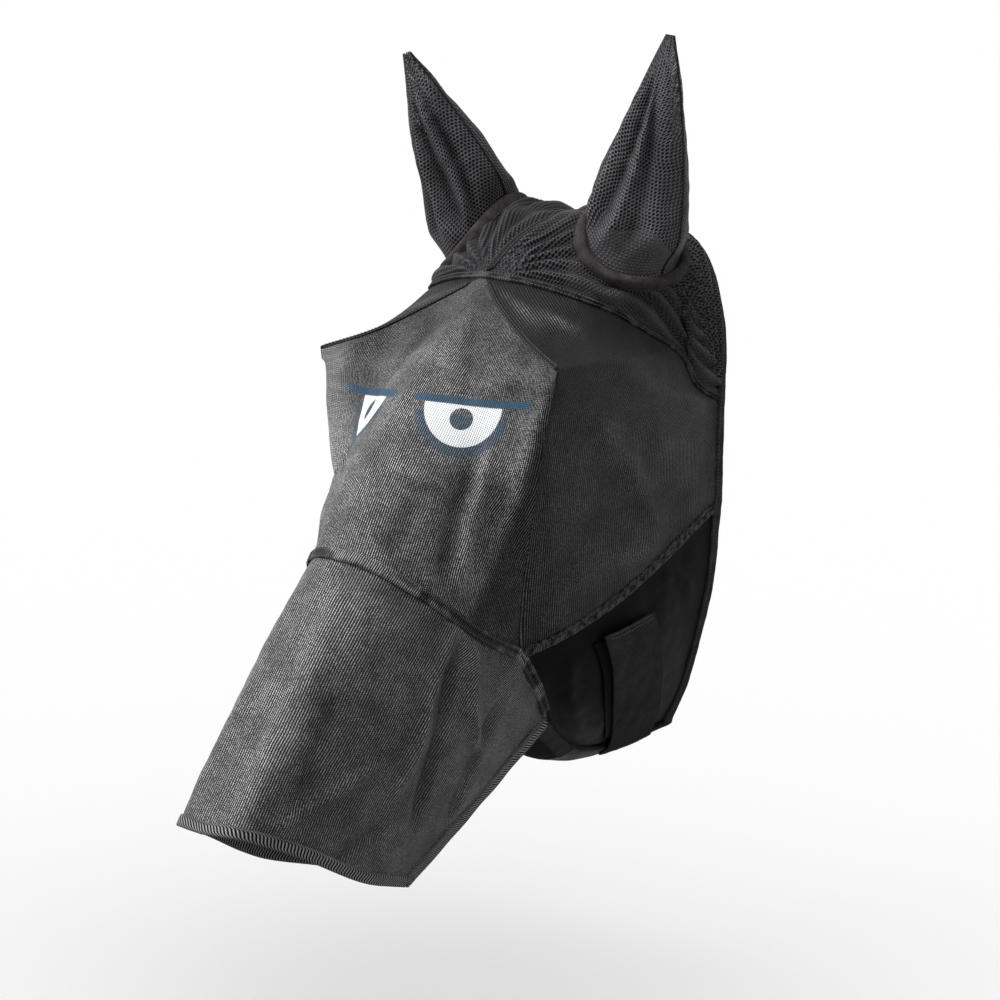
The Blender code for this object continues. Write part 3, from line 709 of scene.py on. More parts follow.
# Each cloth's material with the record's slot for it.
FACE_MESH = ribbed_mesh("face_rib_mesh", 2.0, 1.7, tone=2.25, roughness=0.44, specular=0.05, printed=True), "mesh"
NOSE_MESH = ribbed_mesh("nose_rib_mesh", 2.2, 1.8, tone=1.85, roughness=0.36, specular=0.10), "mesh"
POLL_MESH = knit_mesh("poll_knit", 3.3, 0.32, 0.02, tone=0.42, squeeze=0.92), "poll_mesh"
EAR_MESH = knit_mesh("ear_honeycomb", 3.5, 0.27, 0.04, tone=0.78, squeeze=0.87, vary=0.38), "poll_mesh"
FLEECE = fleece_cloth(), "fleece"
CHEEK_CLOTH = smooth_cloth(), "cheek_cloth"
TAPE = woven_tape("flat_tape", 1.5, 0.0, 0.7), "tape"
BROW_TAPE = woven_tape("brow_seam_tape", 1.7, 0.5, 2.6, patchy=13.0), "tape"
SEAM_BAND = woven_tape("seam_band", 1.9, 0.10, 6.5, patchy=18.0), "tape"
CHEEK_BAND = woven_tape("cheek_seam_band", 1.6, 0.25, 3.2, patchy=5.0), "tape"
TWILL = woven_tape("twill_tape", 3.2, 2.1, 4.6), "twill"
LOOP = loop_cloth(), "hook_loop"
HOOK = hook_cloth(), "hook_loop"
THREAD = thread(), "tape"


# ---- Meshes ----


def run_lengths(grid, axis):
    """How far along a grid's lines each point lies, in the direction of one of its axes."""
    steps = np.cumsum(np.linalg.norm(np.diff(grid, axis=axis), axis=2), axis=axis)
    return np.concatenate([np.zeros_like(steps[:, :1] if axis else steps[:1]), steps], axis=axis)


def weave_lengths(grid, hand=1):
    """Distances across and along a grid, in metres, as its weave's coordinates."""
    return paired(hand * run_lengths(grid, 1), run_lengths(grid, 0)) * MM


def flipped(points, hand):
    return points * np.array((hand, 1, 1))


def paired(first, second):
    """Two values at each point of a grid."""
    return np.stack([first, second], axis=-1)


def shares_of(grid):
    """Each point's fraction across and down a grid."""
    return np.meshgrid(np.linspace(0, 1, grid.shape[1]), np.linspace(0, 1, grid.shape[0]))


def finished(bm, name):
    """The mesh that a bmesh makes, under a name."""
    mesh = bpy.data.meshes.new(name)
    bm.to_mesh(mesh)
    bm.free()
    return mesh


def dressed(mesh, look, body, replaces=(), thick=0.0, offset=0.0):
    """An object of a mesh with its material and the body it rides on."""
    material, slot = look
    mesh.shade_smooth()
    mesh.materials.append(material)
    obj = bpy.data.objects.new(mesh.name, mesh)
    bpy.context.scene.collection.objects.link(obj)
    if thick:
        solid = obj.modifiers.new("thickness", "SOLIDIFY")
        solid.thickness = thick * MM
        solid.offset = offset
    if body:
        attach(obj, body)
    if replaces:
        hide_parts(*replaces)
    return obj


def piece(name, patches, look, body, replaces=(), thick=0.0, offset=0.0, smooth=None, centre=HEAD_CENTRE):
    """A mesh of grids with their weave coordinates, joined where they meet, riding on a body.

    A patch can also give each point's stretch and painted shading. Faces look away from centre.
    """
    bm = bmesh.new()
    layers = [bm.loops.layers.uv.new(layer) for layer in ("weave", "stretch")]
    for grid, weave, *pull in patches:
        rows, columns = grid.shape[:2]
        verts = [bm.verts.new(p * MM) for p in grid.reshape(-1, 3)]
        values = [layer.reshape(-1, 2) for layer in (weave, pull[0] if pull else np.zeros(weave.shape))]
        for r in range(rows - 1):
            for c in range(columns - 1):
                start = r * columns + c
                ids = (start, start + 1, start + columns + 1, start + columns)
                face = bm.faces.new([verts[i] for i in ids])
                for loop, i in zip(face.loops, ids):
                    for layer, value in zip(layers, values):
                        loop[layer].uv = value[i]
    bmesh.ops.remove_doubles(bm, verts=bm.verts, dist=1e-5)
    bmesh.ops.recalc_face_normals(bm, faces=bm.faces)
    middle = np.asarray(centre) * MM
    inwards = sum(np.dot(f.normal, np.array(f.calc_center_median()) - middle) for f in bm.faces) < 0
    if inwards:
        bmesh.ops.reverse_faces(bm, faces=bm.faces)
    if smooth:
        smooth(bm)
    return dressed(finished(bm, name), look, body, replaces, thick, offset)


def bumpy(turn, power):
    """Cosine or sine values, squared off as in a rounded box of that power."""
    return np.sign(turn) * np.abs(turn) ** (2 / power)


def roll(name, strip, thick, look, body, replaces=(), power=2.4, closed=False, lumps=0.0, groove=None,
         segments=22, crush=0.0):
    """A rounded strip, such as a binding or a folded tape: strip holds its two edge lines and its normals.

    groove is the angle round the section, in degrees, where a sewn line draws it in.
    """
    inner, outer, normals = strip
    count = len(inner)
    middle = (inner + outer) / 2
    half = (outer - inner) / 2
    turn = np.linspace(0, 2 * math.pi, segments, endpoint=False)
    deep = np.ones(segments)
    if groove:
        gap = (turn - math.radians(groove) + math.pi) % (2 * math.pi) - math.pi
        deep = 1 - GROOVE_DEPTH * np.exp(-((gap / GROOVE_WIDTH) ** 2))
    ring = middle[:, None] + half[:, None] * (bumpy(np.cos(turn), power) * deep)[None, :, None]
    ring = ring + normals[:, None] * (thick / 2 * bumpy(np.sin(turn), power) * deep)[None, :, None]
    out = units(ring - middle[:, None])
    if lumps:
        ring = ring + out * (lumps * cloud(ring, 16.0) + 0.45 * lumps * cloud(ring, 5.0, 7.0))[..., None]
    if crush:
        ring = ring + normals[:, None] * (crush * cloud(ring, 30.0, 3.0))[..., None]
    travelled = lengths_along(middle)
    travelled = np.append(travelled, travelled[-1] + travelled[1])
    girth = 2 * np.linalg.norm(half, axis=1).mean() + thick
    bm = bmesh.new()
    weave = bm.loops.layers.uv.new("weave")
    verts = [[bm.verts.new(p * MM) for p in row] for row in ring]
    for i in range(count if closed else count - 1):
        k = (i + 1) % count
        for j in range(segments):
            m = (j + 1) % segments
            face = bm.faces.new((verts[i][j], verts[i][m], verts[k][m], verts[k][j]))
            for loop, (a, b) in zip(face.loops, ((i, j), (i, j + 1), (i + 1, j + 1), (i + 1, j))):
                loop[weave].uv = (travelled[a] * MM, girth * b / segments * MM)
    for row in () if closed else (verts[0], verts[-1]):
        tip = bm.verts.new(sum((v.co for v in row), Vector()) / segments)
        for j in range(segments):
            bm.faces.new((row[j], row[(j + 1) % segments], tip))
    bmesh.ops.recalc_face_normals(bm, faces=bm.faces)
    return dressed(finished(bm, name), look, body, replaces)


def stitch_row(line, normals, lift):
    """Where each stitch of a sewn line lies: its middle, direction and normal."""
    travelled = lengths_along(line)
    places = np.arange(STITCH_PITCH, travelled[-1] - STITCH_PITCH, STITCH_PITCH)
    if not len(places):
        return []
    ahead = units(along(line, np.minimum(places + 0.5, travelled[-1])) - along(line, places - 0.5))
    up = units(np.stack([np.interp(places, travelled, normals[:, k]) for k in range(3)], axis=-1))
    return [(m + lift * n, a, n) for m, a, n in zip(along(line, places), ahead, up)]


def stitches(name, rows, body):
    """All the stitches of some sewn lines, as one mesh of short, round-ended threads sunk at both ends."""
    bm = bmesh.new()
    turn = np.linspace(0, 2 * math.pi, STITCH_SIDES, endpoint=False)
    for middle, ahead, up in rows:
        beside = np.cross(ahead, up)
        rings = []
        for where, height, size in STITCH_SHAPE:
            centre = middle + ahead * where * STITCH_LENGTH + up * height * STITCH_RADIUS
            spokes = [STITCH_RADIUS * size * (math.cos(t) * beside + math.sin(t) * up) for t in turn]
            rings.append([bm.verts.new((centre + spoke) * MM) for spoke in spokes])
        for low, high in zip(rings, rings[1:]):
            for j in range(STITCH_SIDES):
                k = (j + 1) % STITCH_SIDES
                bm.faces.new((low[j], low[k], high[k], high[j]))
        bm.faces.new(rings[0][::-1])
        bm.faces.new(rings[-1])
    bmesh.ops.recalc_face_normals(bm, faces=bm.faces)
    return dressed(finished(bm, name), THREAD, body)


def as_sheet(obj, grids, cut=None):
    """Prints a cloth piece's flat size and area, from the size that its own grids measure or the size it is cut from.
    """
    width, length = cut or (
        sum(run_lengths(g, 1)[:, -1].max() for g in grids) * MM,
        max(run_lengths(g, 0)[-1].max() for g in grids) * MM,
    )
    area = 0.0
    for g in grids:
        low, high = g[:-1], g[1:]
        one = np.cross(high[:, :-1] - low[:, :-1], low[:, 1:] - low[:, :-1])
        two = np.cross(high[:, :-1] - high[:, 1:], low[:, 1:] - high[:, 1:])
        area += (np.linalg.norm(one, axis=-1).sum() + np.linalg.norm(two, axis=-1).sum()) / 2 * MM * MM
    area = min(max(area, 0.32 * width * length), width * length)
    print(f"flat size {obj.name}: {width * 1000:.0f} x {length * 1000:.0f} mm, area {area * 1e4:.0f} cm2")


# ---- Face, nose and poll cloth ----

NET = seam_net()
MASK = "mask"
HANDS = (("left", 1), ("right", -1))

# How much light the face and nose mesh let through their openings, where the cloth isn't tented.
SIDE_OPEN = 0.012
FRONT_OPEN = 0.08
FAR_OPEN = 0.80
NOSE_OPEN = 0.015
# The share of the front's thread brightness that the side mesh keeps under its painted shade, and how much closer its
# ribs stand.
SIDE_PAINTED_SHADE = 0.27
SIDE_WEAVE = 0.85

# The cut sizes of the shaped panels, in metres: across the forehead from rear edge to rear edge and down, and
# for each poll half along the crown and out to the rear edge.
FACE_CUT = (0.66, 0.40)
POLL_CUT = (0.235, 0.215)

# Folds: fractions across and down a panel where each one runs, its height, its width and how soon it fades.
# The first is where the front's cloth falls over the cheek bone.
DRAPE_LINE = ((1.00, 0.93, 0.88, 0.79, 0.71, 0.62), (0.03, 0.23, 0.44, 0.62, 0.82, 1.00))
FRONT_FOLDS = (
    (*DRAPE_LINE, 7.0, 9.0, 0.18),
    ((0.66, 0.61, 0.59, 0.57), (0.30, 0.50, 0.72, 0.98), 5.5, 7.5),
    ((0.56, 0.50, 0.49, 0.48), (0.45, 0.62, 0.78, 1.00), -6.0, 7.0),
    ((0.80, 0.73, 0.66), (0.40, 0.68, 0.98), -4.5, 7.0),
    ((0.12, 0.24, 0.38, 0.46), (0.69, 0.68, 0.64, 0.66), 3.0, 6.0),
    ((0.14, 0.26, 0.40), (0.10, 0.22, 0.38), -3.5, 8.0),
    ((0.95, 0.66, 0.38), (0.06, 0.14, 0.26), 3.4, 8.0),
    ((0.28, 0.26, 0.20), (0.72, 0.84, 0.97), -3.0, 10.0),
)
RIGHT_FRONT_FOLDS = (((0.80, 0.52, 0.26), (0.42, 0.66, 0.98), 10.0, 30.0, 0.5),)
SIDE_FOLDS = (
    ((0.42, 0.56, 0.72), (0.15, 0.45, 0.95), 4.2, 12.0),
    ((0.72, 0.62, 0.60), (0.15, 0.50, 0.85), -3.2, 11.0),
    ((0.30, 0.40, 0.46), (0.30, 0.60, 0.95), 2.6, 12.0),
    ((0.86, 0.76, 0.70), (0.20, 0.55, 0.92), 3.0, 9.0),
)
NOSE_FOLDS = (
    ((0.39, 0.44, 0.52, 0.57), (0.02, 0.31, 0.49, 0.72), 5.5, 6.0, 0.2),
    ((0.43, 0.46, 0.56, 0.65, 0.77), (0.02, 0.19, 0.42, 0.61, 0.80), -7.0, 6.0, 0.2),
    ((0.47, 0.60, 0.84), (0.03, 0.27, 0.42), 5.0, 7.0, 0.2),
    ((0.66, 0.78, 0.90), (0.16, 0.44, 0.72), -4.0, 7.0),
    ((0.46, 0.40, 0.34, 0.22), (0.56, 0.66, 0.80, 0.97), 3.6, 5.5),
    ((0.18, 0.21, 0.24, 0.28), (0.42, 0.55, 0.70, 0.92), -4.5, 8.0),
    ((0.06, 0.09, 0.08, 0.12), (0.06, 0.36, 0.60, 0.92), 2.5, 9.0, 0.12),
    ((0.60, 0.56, 0.52), (0.78, 0.88, 0.99), -3.0, 6.0),
)
CHEEK_FOLDS = (
    ((0.84, 0.88, 0.86), (0.10, 0.45, 0.9), 3.0, 6.0),
    ((0.93, 0.95, 0.93), (0.15, 0.5, 0.95), -2.2, 4.5),
    ((0.14, 0.28, 0.40), (0.30, 0.13, 0.06), 2.2, 6.0),
)
RIGHT_CHEEK_FOLDS = (((0.10, 0.30, 0.50), (0.62, 0.80, 0.93), 2.0, 7.0),)
# Painted highlights on the side's ribs behind the dart, as places along and out from it with their reach.
DART_PAINTED_HIGHLIGHT = (((0.13, 0.25), 0.055), ((0.20, 0.42), 0.04))
# How near the tented ridge the cloth is rounded, in metres, and how often: on both sides, then on the left only.
RIDGE_REACH = 0.042
RIDGE_TURNS = (7, 19)


def add_folds(lift, grid, folds):
    for across, down, *shape in folds:
        lift += fold(grid, sample(grid, np.array(across), np.array(down)), *shape)


def face_cloth():
    """The eye and forehead mesh with its soft folds; the tented ridge below each dart is rounded."""
    patches = []
    for _, hand in HANDS:
        front = flipped(NET["front"], hand)
        across, down = shares_of(front)
        inside = smooth_step(down, 0, 0.16) * smooth_step(1 - down, 0, 0.10)
        lift = 2.2 * inside * cloud(front, 55.0, 4.0 + hand) + 0.8 * inside * cloud(front, 20.0, 9.0)
        add_folds(lift, front, FRONT_FOLDS + (RIGHT_FRONT_FOLDS if hand < 0 else ()))
        lift *= smooth_step(across, 0.0, 0.06)
        shaped = front + lift[..., None] * normals_of(front)

        side = flipped(NET["side"], hand)
        on, out = shares_of(side)
        middle = smooth_step(out, 0.02, 0.25) * smooth_step(1 - out, 0, 0.15) * smooth_step(on, 0.05, 0.25)
        middle *= smooth_step(1 - on, 0.0, 0.2)
        wave_height = 2.4 * cloud(side, 60.0, 2.0 + hand) + 0.8 * cloud(side, 22.0, 6.0)
        add_folds(wave_height, side, SIDE_FOLDS)
        side = side + (middle * wave_height)[..., None] * normals_of(side)
        side[0, fine(DART_COUNT) - 1 :] = shaped[:, -1]

        # Painted shading on the front: fold crests paler and hollows darker, painted shade darkening it towards the
        # dart, and the left front past the drape line painted with the side's shade.
        beyond = smooth_step(across - np.interp(down, *DRAPE_LINE[::-1]), -0.03, 0.07) * (hand > 0)
        painted_shading = (1.0 + 0.055 * lift) * (0.52 + 0.58 * smooth_step(down, 0.02, 0.42))
        painted_shading = (1 - beyond) * painted_shading + beyond * SIDE_PAINTED_SHADE * 1.15
        opened = FRONT_OPEN * (1 - beyond) + (hand < 0) * FAR_OPEN * smooth_step(across, 0.45, 0.95)
        patches.append((shaped, weave_lengths(shaped, hand), paired(opened, painted_shading)))

        by_ridge = (0.3 + 0.7 * smooth_step(on, 0.10, 0.38)) * (1 - smooth_step(run_lengths(side, 0), 18, 56))
        opened = SIDE_OPEN + (hand < 0) * FAR_OPEN * by_ridge
        # Painted shading on the side: painted shade darkens it towards the top, fold crests are painted paler and
        # hollows darker, and painted highlights shine on the ribs behind the dart.
        painted_shading = 0.22 + 0.78 * smooth_step(-side[..., 2], 60, 190)
        painted_shading = SIDE_PAINTED_SHADE * painted_shading * (1 + 0.09 * middle * wave_height)
        for spot, reach in DART_PAINTED_HIGHLIGHT:
            painted_shading += 0.46 * np.exp(-((np.hypot(on - spot[0], (out - spot[1]) * 0.6) / reach) ** 2))
        ribs = paired(distance_to(side, side[0, ::2]), run_lengths(side, 1))
        patches.append((side, SIDE_WEAVE * MM * ribs, paired(opened, painted_shading)))

    def round_ridge(bm):
        ridges = [flipped(NET["tent"], hand)[::8] * MM for _, hand in HANDS]
        soft = [
            v
            for v in bm.verts
            if not v.is_boundary
            and v.co.z < (DART_TIP[2] - 10) * MM
            and min(distance_to(np.array(v.co)[None], ridge)[0] for ridge in ridges) < RIDGE_REACH
        ]
        for chosen, turns in zip((soft, [v for v in soft if v.co.x > 0]), RIDGE_TURNS):
            for _ in range(turns):
                bmesh.ops.smooth_vert(bm, verts=chosen, factor=0.5, use_axis_x=True, use_axis_y=True, use_axis_z=True)

    obj = piece("face_cloth", patches, FACE_MESH, MASK, ("face_mesh",), smooth=round_ridge)
    as_sheet(obj, [grid for grid, *_ in patches], FACE_CUT)


def nose_cloth():
    """The nose mesh: puckered below its seam, with long soft folds down to the hem."""
    patches = []
    for _, hand in HANDS:
        grid = flipped(NET["nose"], hand)
        across, _ = shares_of(grid)
        edges = (grid[0, ::4], grid[-1, ::4], grid[::4, -1])
        from_seam, from_hem, from_jaw = (distance_to(grid, edge) for edge in edges)
        held = smooth_step(from_seam, 0, 9) * smooth_step(from_hem, 4, 26) * smooth_step(from_jaw, 2, 22)
        phase = run_lengths(grid, 1) / 6.4 + 2.2 * cloud(grid, 30.0, 5.0)
        pucker = np.sin(phase) * np.exp(-from_seam / 20) * smooth_step(from_seam, 1.0, 7.0)
        lift = 1.35 * pucker * (0.6 + 0.6 * cloud(grid, 34.0, 1.0))
        lift += held * (2.4 * cloud(grid * (1.0, 0.45, 0.45), 26.0, 2.0 + hand) + 0.7 * cloud(grid, 15.0, 3.0))
        add_folds(lift, grid, NOSE_FOLDS)
        lift *= smooth_step(across, 0.0, 0.05) * 0.999 + 0.001
        shaped = grid + lift[..., None] * normals_of(grid)
        shaped[:, 0, 0] = 0
        # Painted highlight: a satin band along the ridge, and fold crests painted paler with hollows darker.
        painted_satin_highlight = 0.78 + 0.45 * np.exp(-(((hand * across - 0.02) / 0.15) ** 2))
        painted_shading = np.clip(1.0 + 0.06 * lift, 0.5, 1.3) * painted_satin_highlight
        patches.append((shaped, weave_lengths(shaped, hand), paired(np.full(across.shape, NOSE_OPEN), painted_shading)))
    obj = piece("nose_cloth", patches, NOSE_MESH, MASK, ("nose_mesh",))
    as_sheet(obj, [grid for grid, *_ in patches])


# How many folds fan out from the brow's centre, for each radian of turn.
FAN_FOLDS = 26.0


def poll_cloth():
    """The gathered knit round each ear: soft rolls that follow the brow seam and the ear."""
    grid = NET["poll"]
    _, share = shares_of(grid)
    span = np.linalg.norm(grid[-1] - grid[0], axis=1)[None]
    held = smooth_step(share * span, 2, 11) * smooth_step((1 - share) * span, 1, 9)
    from_centre = grid - np.array(BROW)
    reach = np.linalg.norm(from_centre, axis=-1)
    seamward = unit(np.array(SEAM_CORNER) - np.array(BROW))
    crossways = unit(np.cross(np.cross(seamward, unit(np.array(CROWN_REAR) - np.array(BROW))), seamward))
    fan = np.arctan2(from_centre @ crossways, from_centre @ seamward)
    turn = ear_angles(grid[-1])
    outward = EAR_RING[0] + run_lengths(grid, 0)
    weave = paired(outward * np.cos(turn), outward * np.sin(turn)) * MM
    for name, hand in HANDS:
        where = flipped(grid, hand)
        wander = cloud(where, 42.0, 3.0)
        fans = np.sin(fan * FAN_FOLDS + 1.4 * wander) * smooth_step(reach, 8, 34) * (1 - smooth_step(reach, 95, 150))
        rolls = np.sin((1 - share) * span / 3.4 + 3.0 * wander) * smooth_step(reach, 85, 135)
        lift = held * (3.2 * fans + 4.4 * rolls + 1.3 * cloud(where, 18.0, 8.0) + 2.2 * wander)
        # Painted shading: threads on the raised gathers are painted paler and those in the hollows darker.
        pull = paired(np.zeros(lift.shape), np.clip(0.16 * lift, -0.8, 1.5))
        shaped = grid + lift[..., None] * normals_of(grid)
        shaped[:, 0] = shaped[:, -1] = (shaped[:, 0] + shaped[:, -1]) / 2
        shaped = flipped(shaped, hand)
        obj = piece(f"{name}_poll_cloth", [(shaped, weave, pull)], POLL_MESH, MASK, (f"{name}_poll_mesh",))
        as_sheet(obj, [shaped], POLL_CUT)


# ---- Ears ----

# How far the ear knit's holes are stretched open along the outer seam.
EDGE_OPEN = 0.6
# Creases along each ear panel: where across it, how deep and how wide, as a fraction of its width.
EAR_CREASES = {
    "front": ((0.30, -5.0, 0.045), (0.38, 5.0, 0.035), (0.47, -6.0, 0.045), (0.56, 4.6, 0.035), (0.65, -4.4, 0.05)),
    "back": ((0.36, -4.2, 0.055), (0.48, 3.0, 0.05), (0.62, -3.4, 0.06)),
}
# Heights up a sleeve: a start and an end, which nothing uses, and the middle that it faces away from.
SLEEVE_GIVE = (2, 55)
SLEEVE_MIDDLE = 60


def ear_panel(hand, part, grid, axis):
    """One panel of a left ear sleeve's surface with its creases, its stretch and painted shading, and its outward
    directions.
    """
    turn, up = shares_of(grid)
    middle = EAR_CENTRE + ((grid - EAR_CENTRE) @ axis)[..., None] * axis
    out = units(grid - middle)
    free = smooth_step(up, 0.03, 0.2) * smooth_step(1 - up, 0.02, 0.25)
    inner = smooth_step(np.minimum(turn, 1 - turn), 0.0, 0.14)
    where = flipped(grid, hand)
    lift = free * inner * (2.6 * cloud(where * (1, 1, 0.4), 22.0, 1.0) + 0.9 * cloud(where, 12.0, 2.0))
    for centre, depth, wide in EAR_CREASES[part]:
        drift = centre + 0.05 * np.sin(5 * up + 9 * centre)
        lift += depth * free * smooth_step(1 - up, 0.05, 0.5) * np.exp(-(((turn - drift) / wide) ** 2))
    flatten = 1 - 0.16 * smooth_step(up, 0.1, 0.4) * (1 - 2 * np.abs(turn - 0.5))
    shaped = middle + (grid - middle) * flatten[..., None] + lift[..., None] * out
    from_seam = turn if part == "back" else 1 - turn
    opened = EDGE_OPEN * smooth_step(0.26 - from_seam, 0, 0.16) * smooth_step(up, 0.38, 0.60)
    # The second value is painted shading: crease crests painted paler, hollows darker.
    return shaped, paired(opened, np.clip(0.10 * lift, -0.6, 0.9)), out


def ear_cloth():
    """Each ear's sleeve: two panels sewn up their edges, creased along, held in the trim at the base."""
    for name, hand in HANDS:
        seams = []
        for part, start, end, way in (("back", -90, 90, -1), ("front", 90, 270, 1)):
            grid, axis = sleeve_grid(EAR_PITCH[name], start, end)
            low, high = (flipped(EAR_CENTRE + height * axis, hand) * MM for height in SLEEVE_GIVE)
            shaped, pull, out = ear_panel(hand, part, grid, axis)
            obj = piece(
                f"{name}_ear_{part}_cloth", [(flipped(shaped, hand), weave_lengths(shaped, way), pull)], EAR_MESH,
                None, (f"{name}_ear_{part}",), centre=flipped(EAR_CENTRE + SLEEVE_MIDDLE * axis, hand),
            )
            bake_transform(obj)
            as_sheet(obj, [shaped])
            seams.append((flipped(shaped[:, 0], hand), flipped(out[:, 0], hand)))
        for label, (line, out) in zip(("outer", "inner"), seams):
            beside = units(np.cross(np.gradient(line, axis=0), out))
            strip = (line - 1.1 * beside, line + 1.1 * beside, out)
            obj = roll(f"{name}_ear_{label}_seam", strip, 2.0, TAPE, None, segments=10, power=2.0)
            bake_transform(obj)


def ear_trims():
    """The fleece collars round the ear openings, with the sewn line on their lower side."""
    facing, _, _ = ear_frame()
    ring = ear_ring(np.linspace(0, 2 * math.pi, 150, endpoint=False), -TRIM_INSET)
    ahead = units(np.roll(ring, -1, axis=0) - np.roll(ring, 1, axis=0))
    outward = units(ring - EAR_CENTRE - ((ring - EAR_CENTRE) @ facing)[:, None] * facing)
    normal = units(np.cross(ahead, outward))
    normal *= np.sign((normal @ facing))[:, None]
    lean = units(normal + 0.25 * outward)
    spread = units(outward - 0.25 * normal)
    strip = (ring - TRIM_HALF_WIDTH * spread, ring + TRIM_HALF_WIDTH * spread, lean)
    line = strip[1] - 1.6 * lean - 0.3 * spread
    sewn = [np.vstack([points, points[:1]]) for points in (line, spread)]
    for name, hand in HANDS:
        obj = roll(
            f"{name}_ear_pile", [flipped(points, hand) for points in strip], 2 * TRIM_HALF_HEIGHT, FLEECE,
            MASK, (f"{name}_ear_trim",), power=2.7, closed=True, lumps=0.55, groove=-35, segments=26,
        )
        stitches(f"{name}_ear_stitches", stitch_row(*(flipped(points, hand) for points in sewn), 0.1), MASK)


# ---- Tapes and seams ----


def across_seam(first, second, distances):
    """Rows across a seam: first gives the row at each negative distance and second the others."""
    return np.array([(first if d < 0 else second)(abs(d)) for d in distances])


def trimmed(rows, start, end):
    """Rows with a length cut off each of their two ends."""
    return np.array([along(row, np.linspace(start, lengths_along(row)[-1] - end, len(row))) for row in rows])


def tape_weave(rows, hand):
    return weave_lengths(rows.transpose(1, 0, 2), hand).transpose(1, 0, 2)


def band(name, rows, crown, look, replaces, hands=(1, -1), thick=1.2, lift=0.7, wobble=0.0, pucker=0.0, split=0.0):
    """A tape over a seam, thicker along its middle, with a line of stitches near each edge.

    wobble lifts it unevenly, pucker draws it into small pleats across, and split sinks a groove along it.
    """
    count = int(lengths_along(rows[len(rows) // 2])[-1] / BAND_STEP)
    rows = np.array([along(row, np.linspace(0, lengths_along(row)[-1], count)) for row in rows])
    normals = normals_of(rows)
    across = np.linspace(-1, 1, len(rows))[:, None]
    patches = []
    lines = []
    for hand in hands:
        where = flipped(rows, hand)
        rise = lift + crown * (1 - across**4) - split * np.exp(-((across / 0.3) ** 2))
        rise = rise + wobble * cloud(where, 7.0, 2.0)
        if pucker:
            phase = np.arange(count) * BAND_STEP * 2 * math.pi / PUCKER_PITCH + 2.4 * cloud(where, 18.0, 5.0)
            rise = rise + pucker * (0.55 + 0.9 * cloud(where, 30.0, 1.0)) * np.sin(phase) * (1 - across**2)
        top = rows + rise[..., None] * normals
        if len(hands) == 2:
            top[:, 0, 0] = 0
        grid = flipped(top, hand)
        patches.append((grid, tape_weave(rows, hand)[..., ::-1]))
        for index in (1, -2):
            lines += stitch_row(grid[index], flipped(normals, hand)[index], STITCH_LIFT)
    piece(name, patches, look, MASK, (replaces,), thick=thick, offset=-1.0)
    stitches(f"{name}_stitches", lines, MASK)


def tapes():
    """Brow, crown, nose, dart and cheek seams."""
    front, side, cheek, nose, poll = (NET[key] for key in ("front", "side", "cheek", "nose", "poll"))
    brow_count = fine(SEAM_FRONT_COUNT + SEAM_SIDE_COUNT - 1)
    on_poll = slice(fine(CROWN_COUNT) - 1, fine(CROWN_COUNT) - 1 + brow_count)
    distances = (-3.4, -2.4, -1.0, 0, 1.0, 2.4, 3.4)
    rows = across_seam(
        lambda d: inset_row(poll, "top", d)[on_poll], lambda d: inset_row(side, "top", d)[:brow_count], distances
    )
    for row, d in zip(rows, distances):
        row[0] = along(front[:, 0], [d])[0] if d > 0 else along(NET["crown"], [-d])[0]
        row[1:5] = row[0] + (row[5] - row[0]) * np.linspace(0, 1, 6)[1:-1, None]
    rows = trimmed(rows, 0, REAR_WIDTH - 1)
    band("brow_tape", rows, 2.0, BROW_TAPE, "brow_seam_tape", wobble=0.25, split=1.5)

    distances = np.array((0, 1.4, 2.9, 4.2))
    rows = [inset_row(poll, "top", d)[: fine(CROWN_COUNT)] for d in distances]
    rows = trimmed(rows, REAR_WIDTH - 1, 5)
    top = rows + (0.8 + 1.0 * (1 - (distances / distances[-1]) ** 4))[:, None, None] * normals_of(rows)
    top[0, :, 0] = 0
    patches = []
    lines = []
    for _, hand in HANDS:
        grid = flipped(top, hand)
        patches.append((grid, tape_weave(rows, hand)))
        lines += stitch_row(grid[2], normals_of(grid)[2], STITCH_LIFT)
    piece("crown_tape", patches, TAPE, MASK, ("crown_seam_tape",), thick=1.2, offset=-1.0)
    stitches("crown_stitches", lines, MASK)

    rows = across_seam(
        lambda d: join(inset_row(front, "top", d), inset_row(cheek, "right", d)[: fine(NOSE_SIDE_COUNT)]),
        lambda d: inset_row(nose, "bottom", d),
        (-5.2, -3.4, -1.2, 0, 1.2, 3.4, 5.2),
    )
    band("nose_band", trimmed(rows, 0, 3.0), 1.0, SEAM_BAND, "nose_seam_tape", wobble=0.5, pucker=0.8)

    dart_rows = across_seam(
        lambda d: inset_row(front, "bottom", d),
        lambda d: inset_row(side, "bottom", d)[: fine(DART_COUNT)],
        (-1.9, -0.9, 0, 0.9, 1.9),
    )
    cheek_rows = across_seam(
        lambda d: inset_row(side, "top", d)[-fine(CHEEK_SEAM_COUNT) :],
        lambda d: inset_row(cheek, "bottom", d),
        (-5.4, -3.6, -1.3, 0, 1.3, 3.6, 5.4),
    )
    dart_rows = trimmed(dart_rows, 14, 1)
    cheek_rows = trimmed(cheek_rows, REAR_WIDTH - 1, 4)
    for name, hand in HANDS:
        band(f"{name}_dart_band", dart_rows, 0.8, TAPE, f"{name}_dart_tape", (hand,), lift=0.4, thick=0.9)
        band(
            f"{name}_cheek_band", cheek_rows, 1.0, CHEEK_BAND, f"{name}_cheek_seam_tape", (hand,),
            wobble=0.5, pucker=0.35, split=0.9,
        )


def read_at(values, places, steps=None):
    """Values given at steps along a line, evenly if none are given, read at fractions along it."""
    steps = np.linspace(0, 1, len(values)) if steps is None else steps
    return np.stack([np.interp(places, steps, values[:, k]) for k in range(3)], axis=-1)


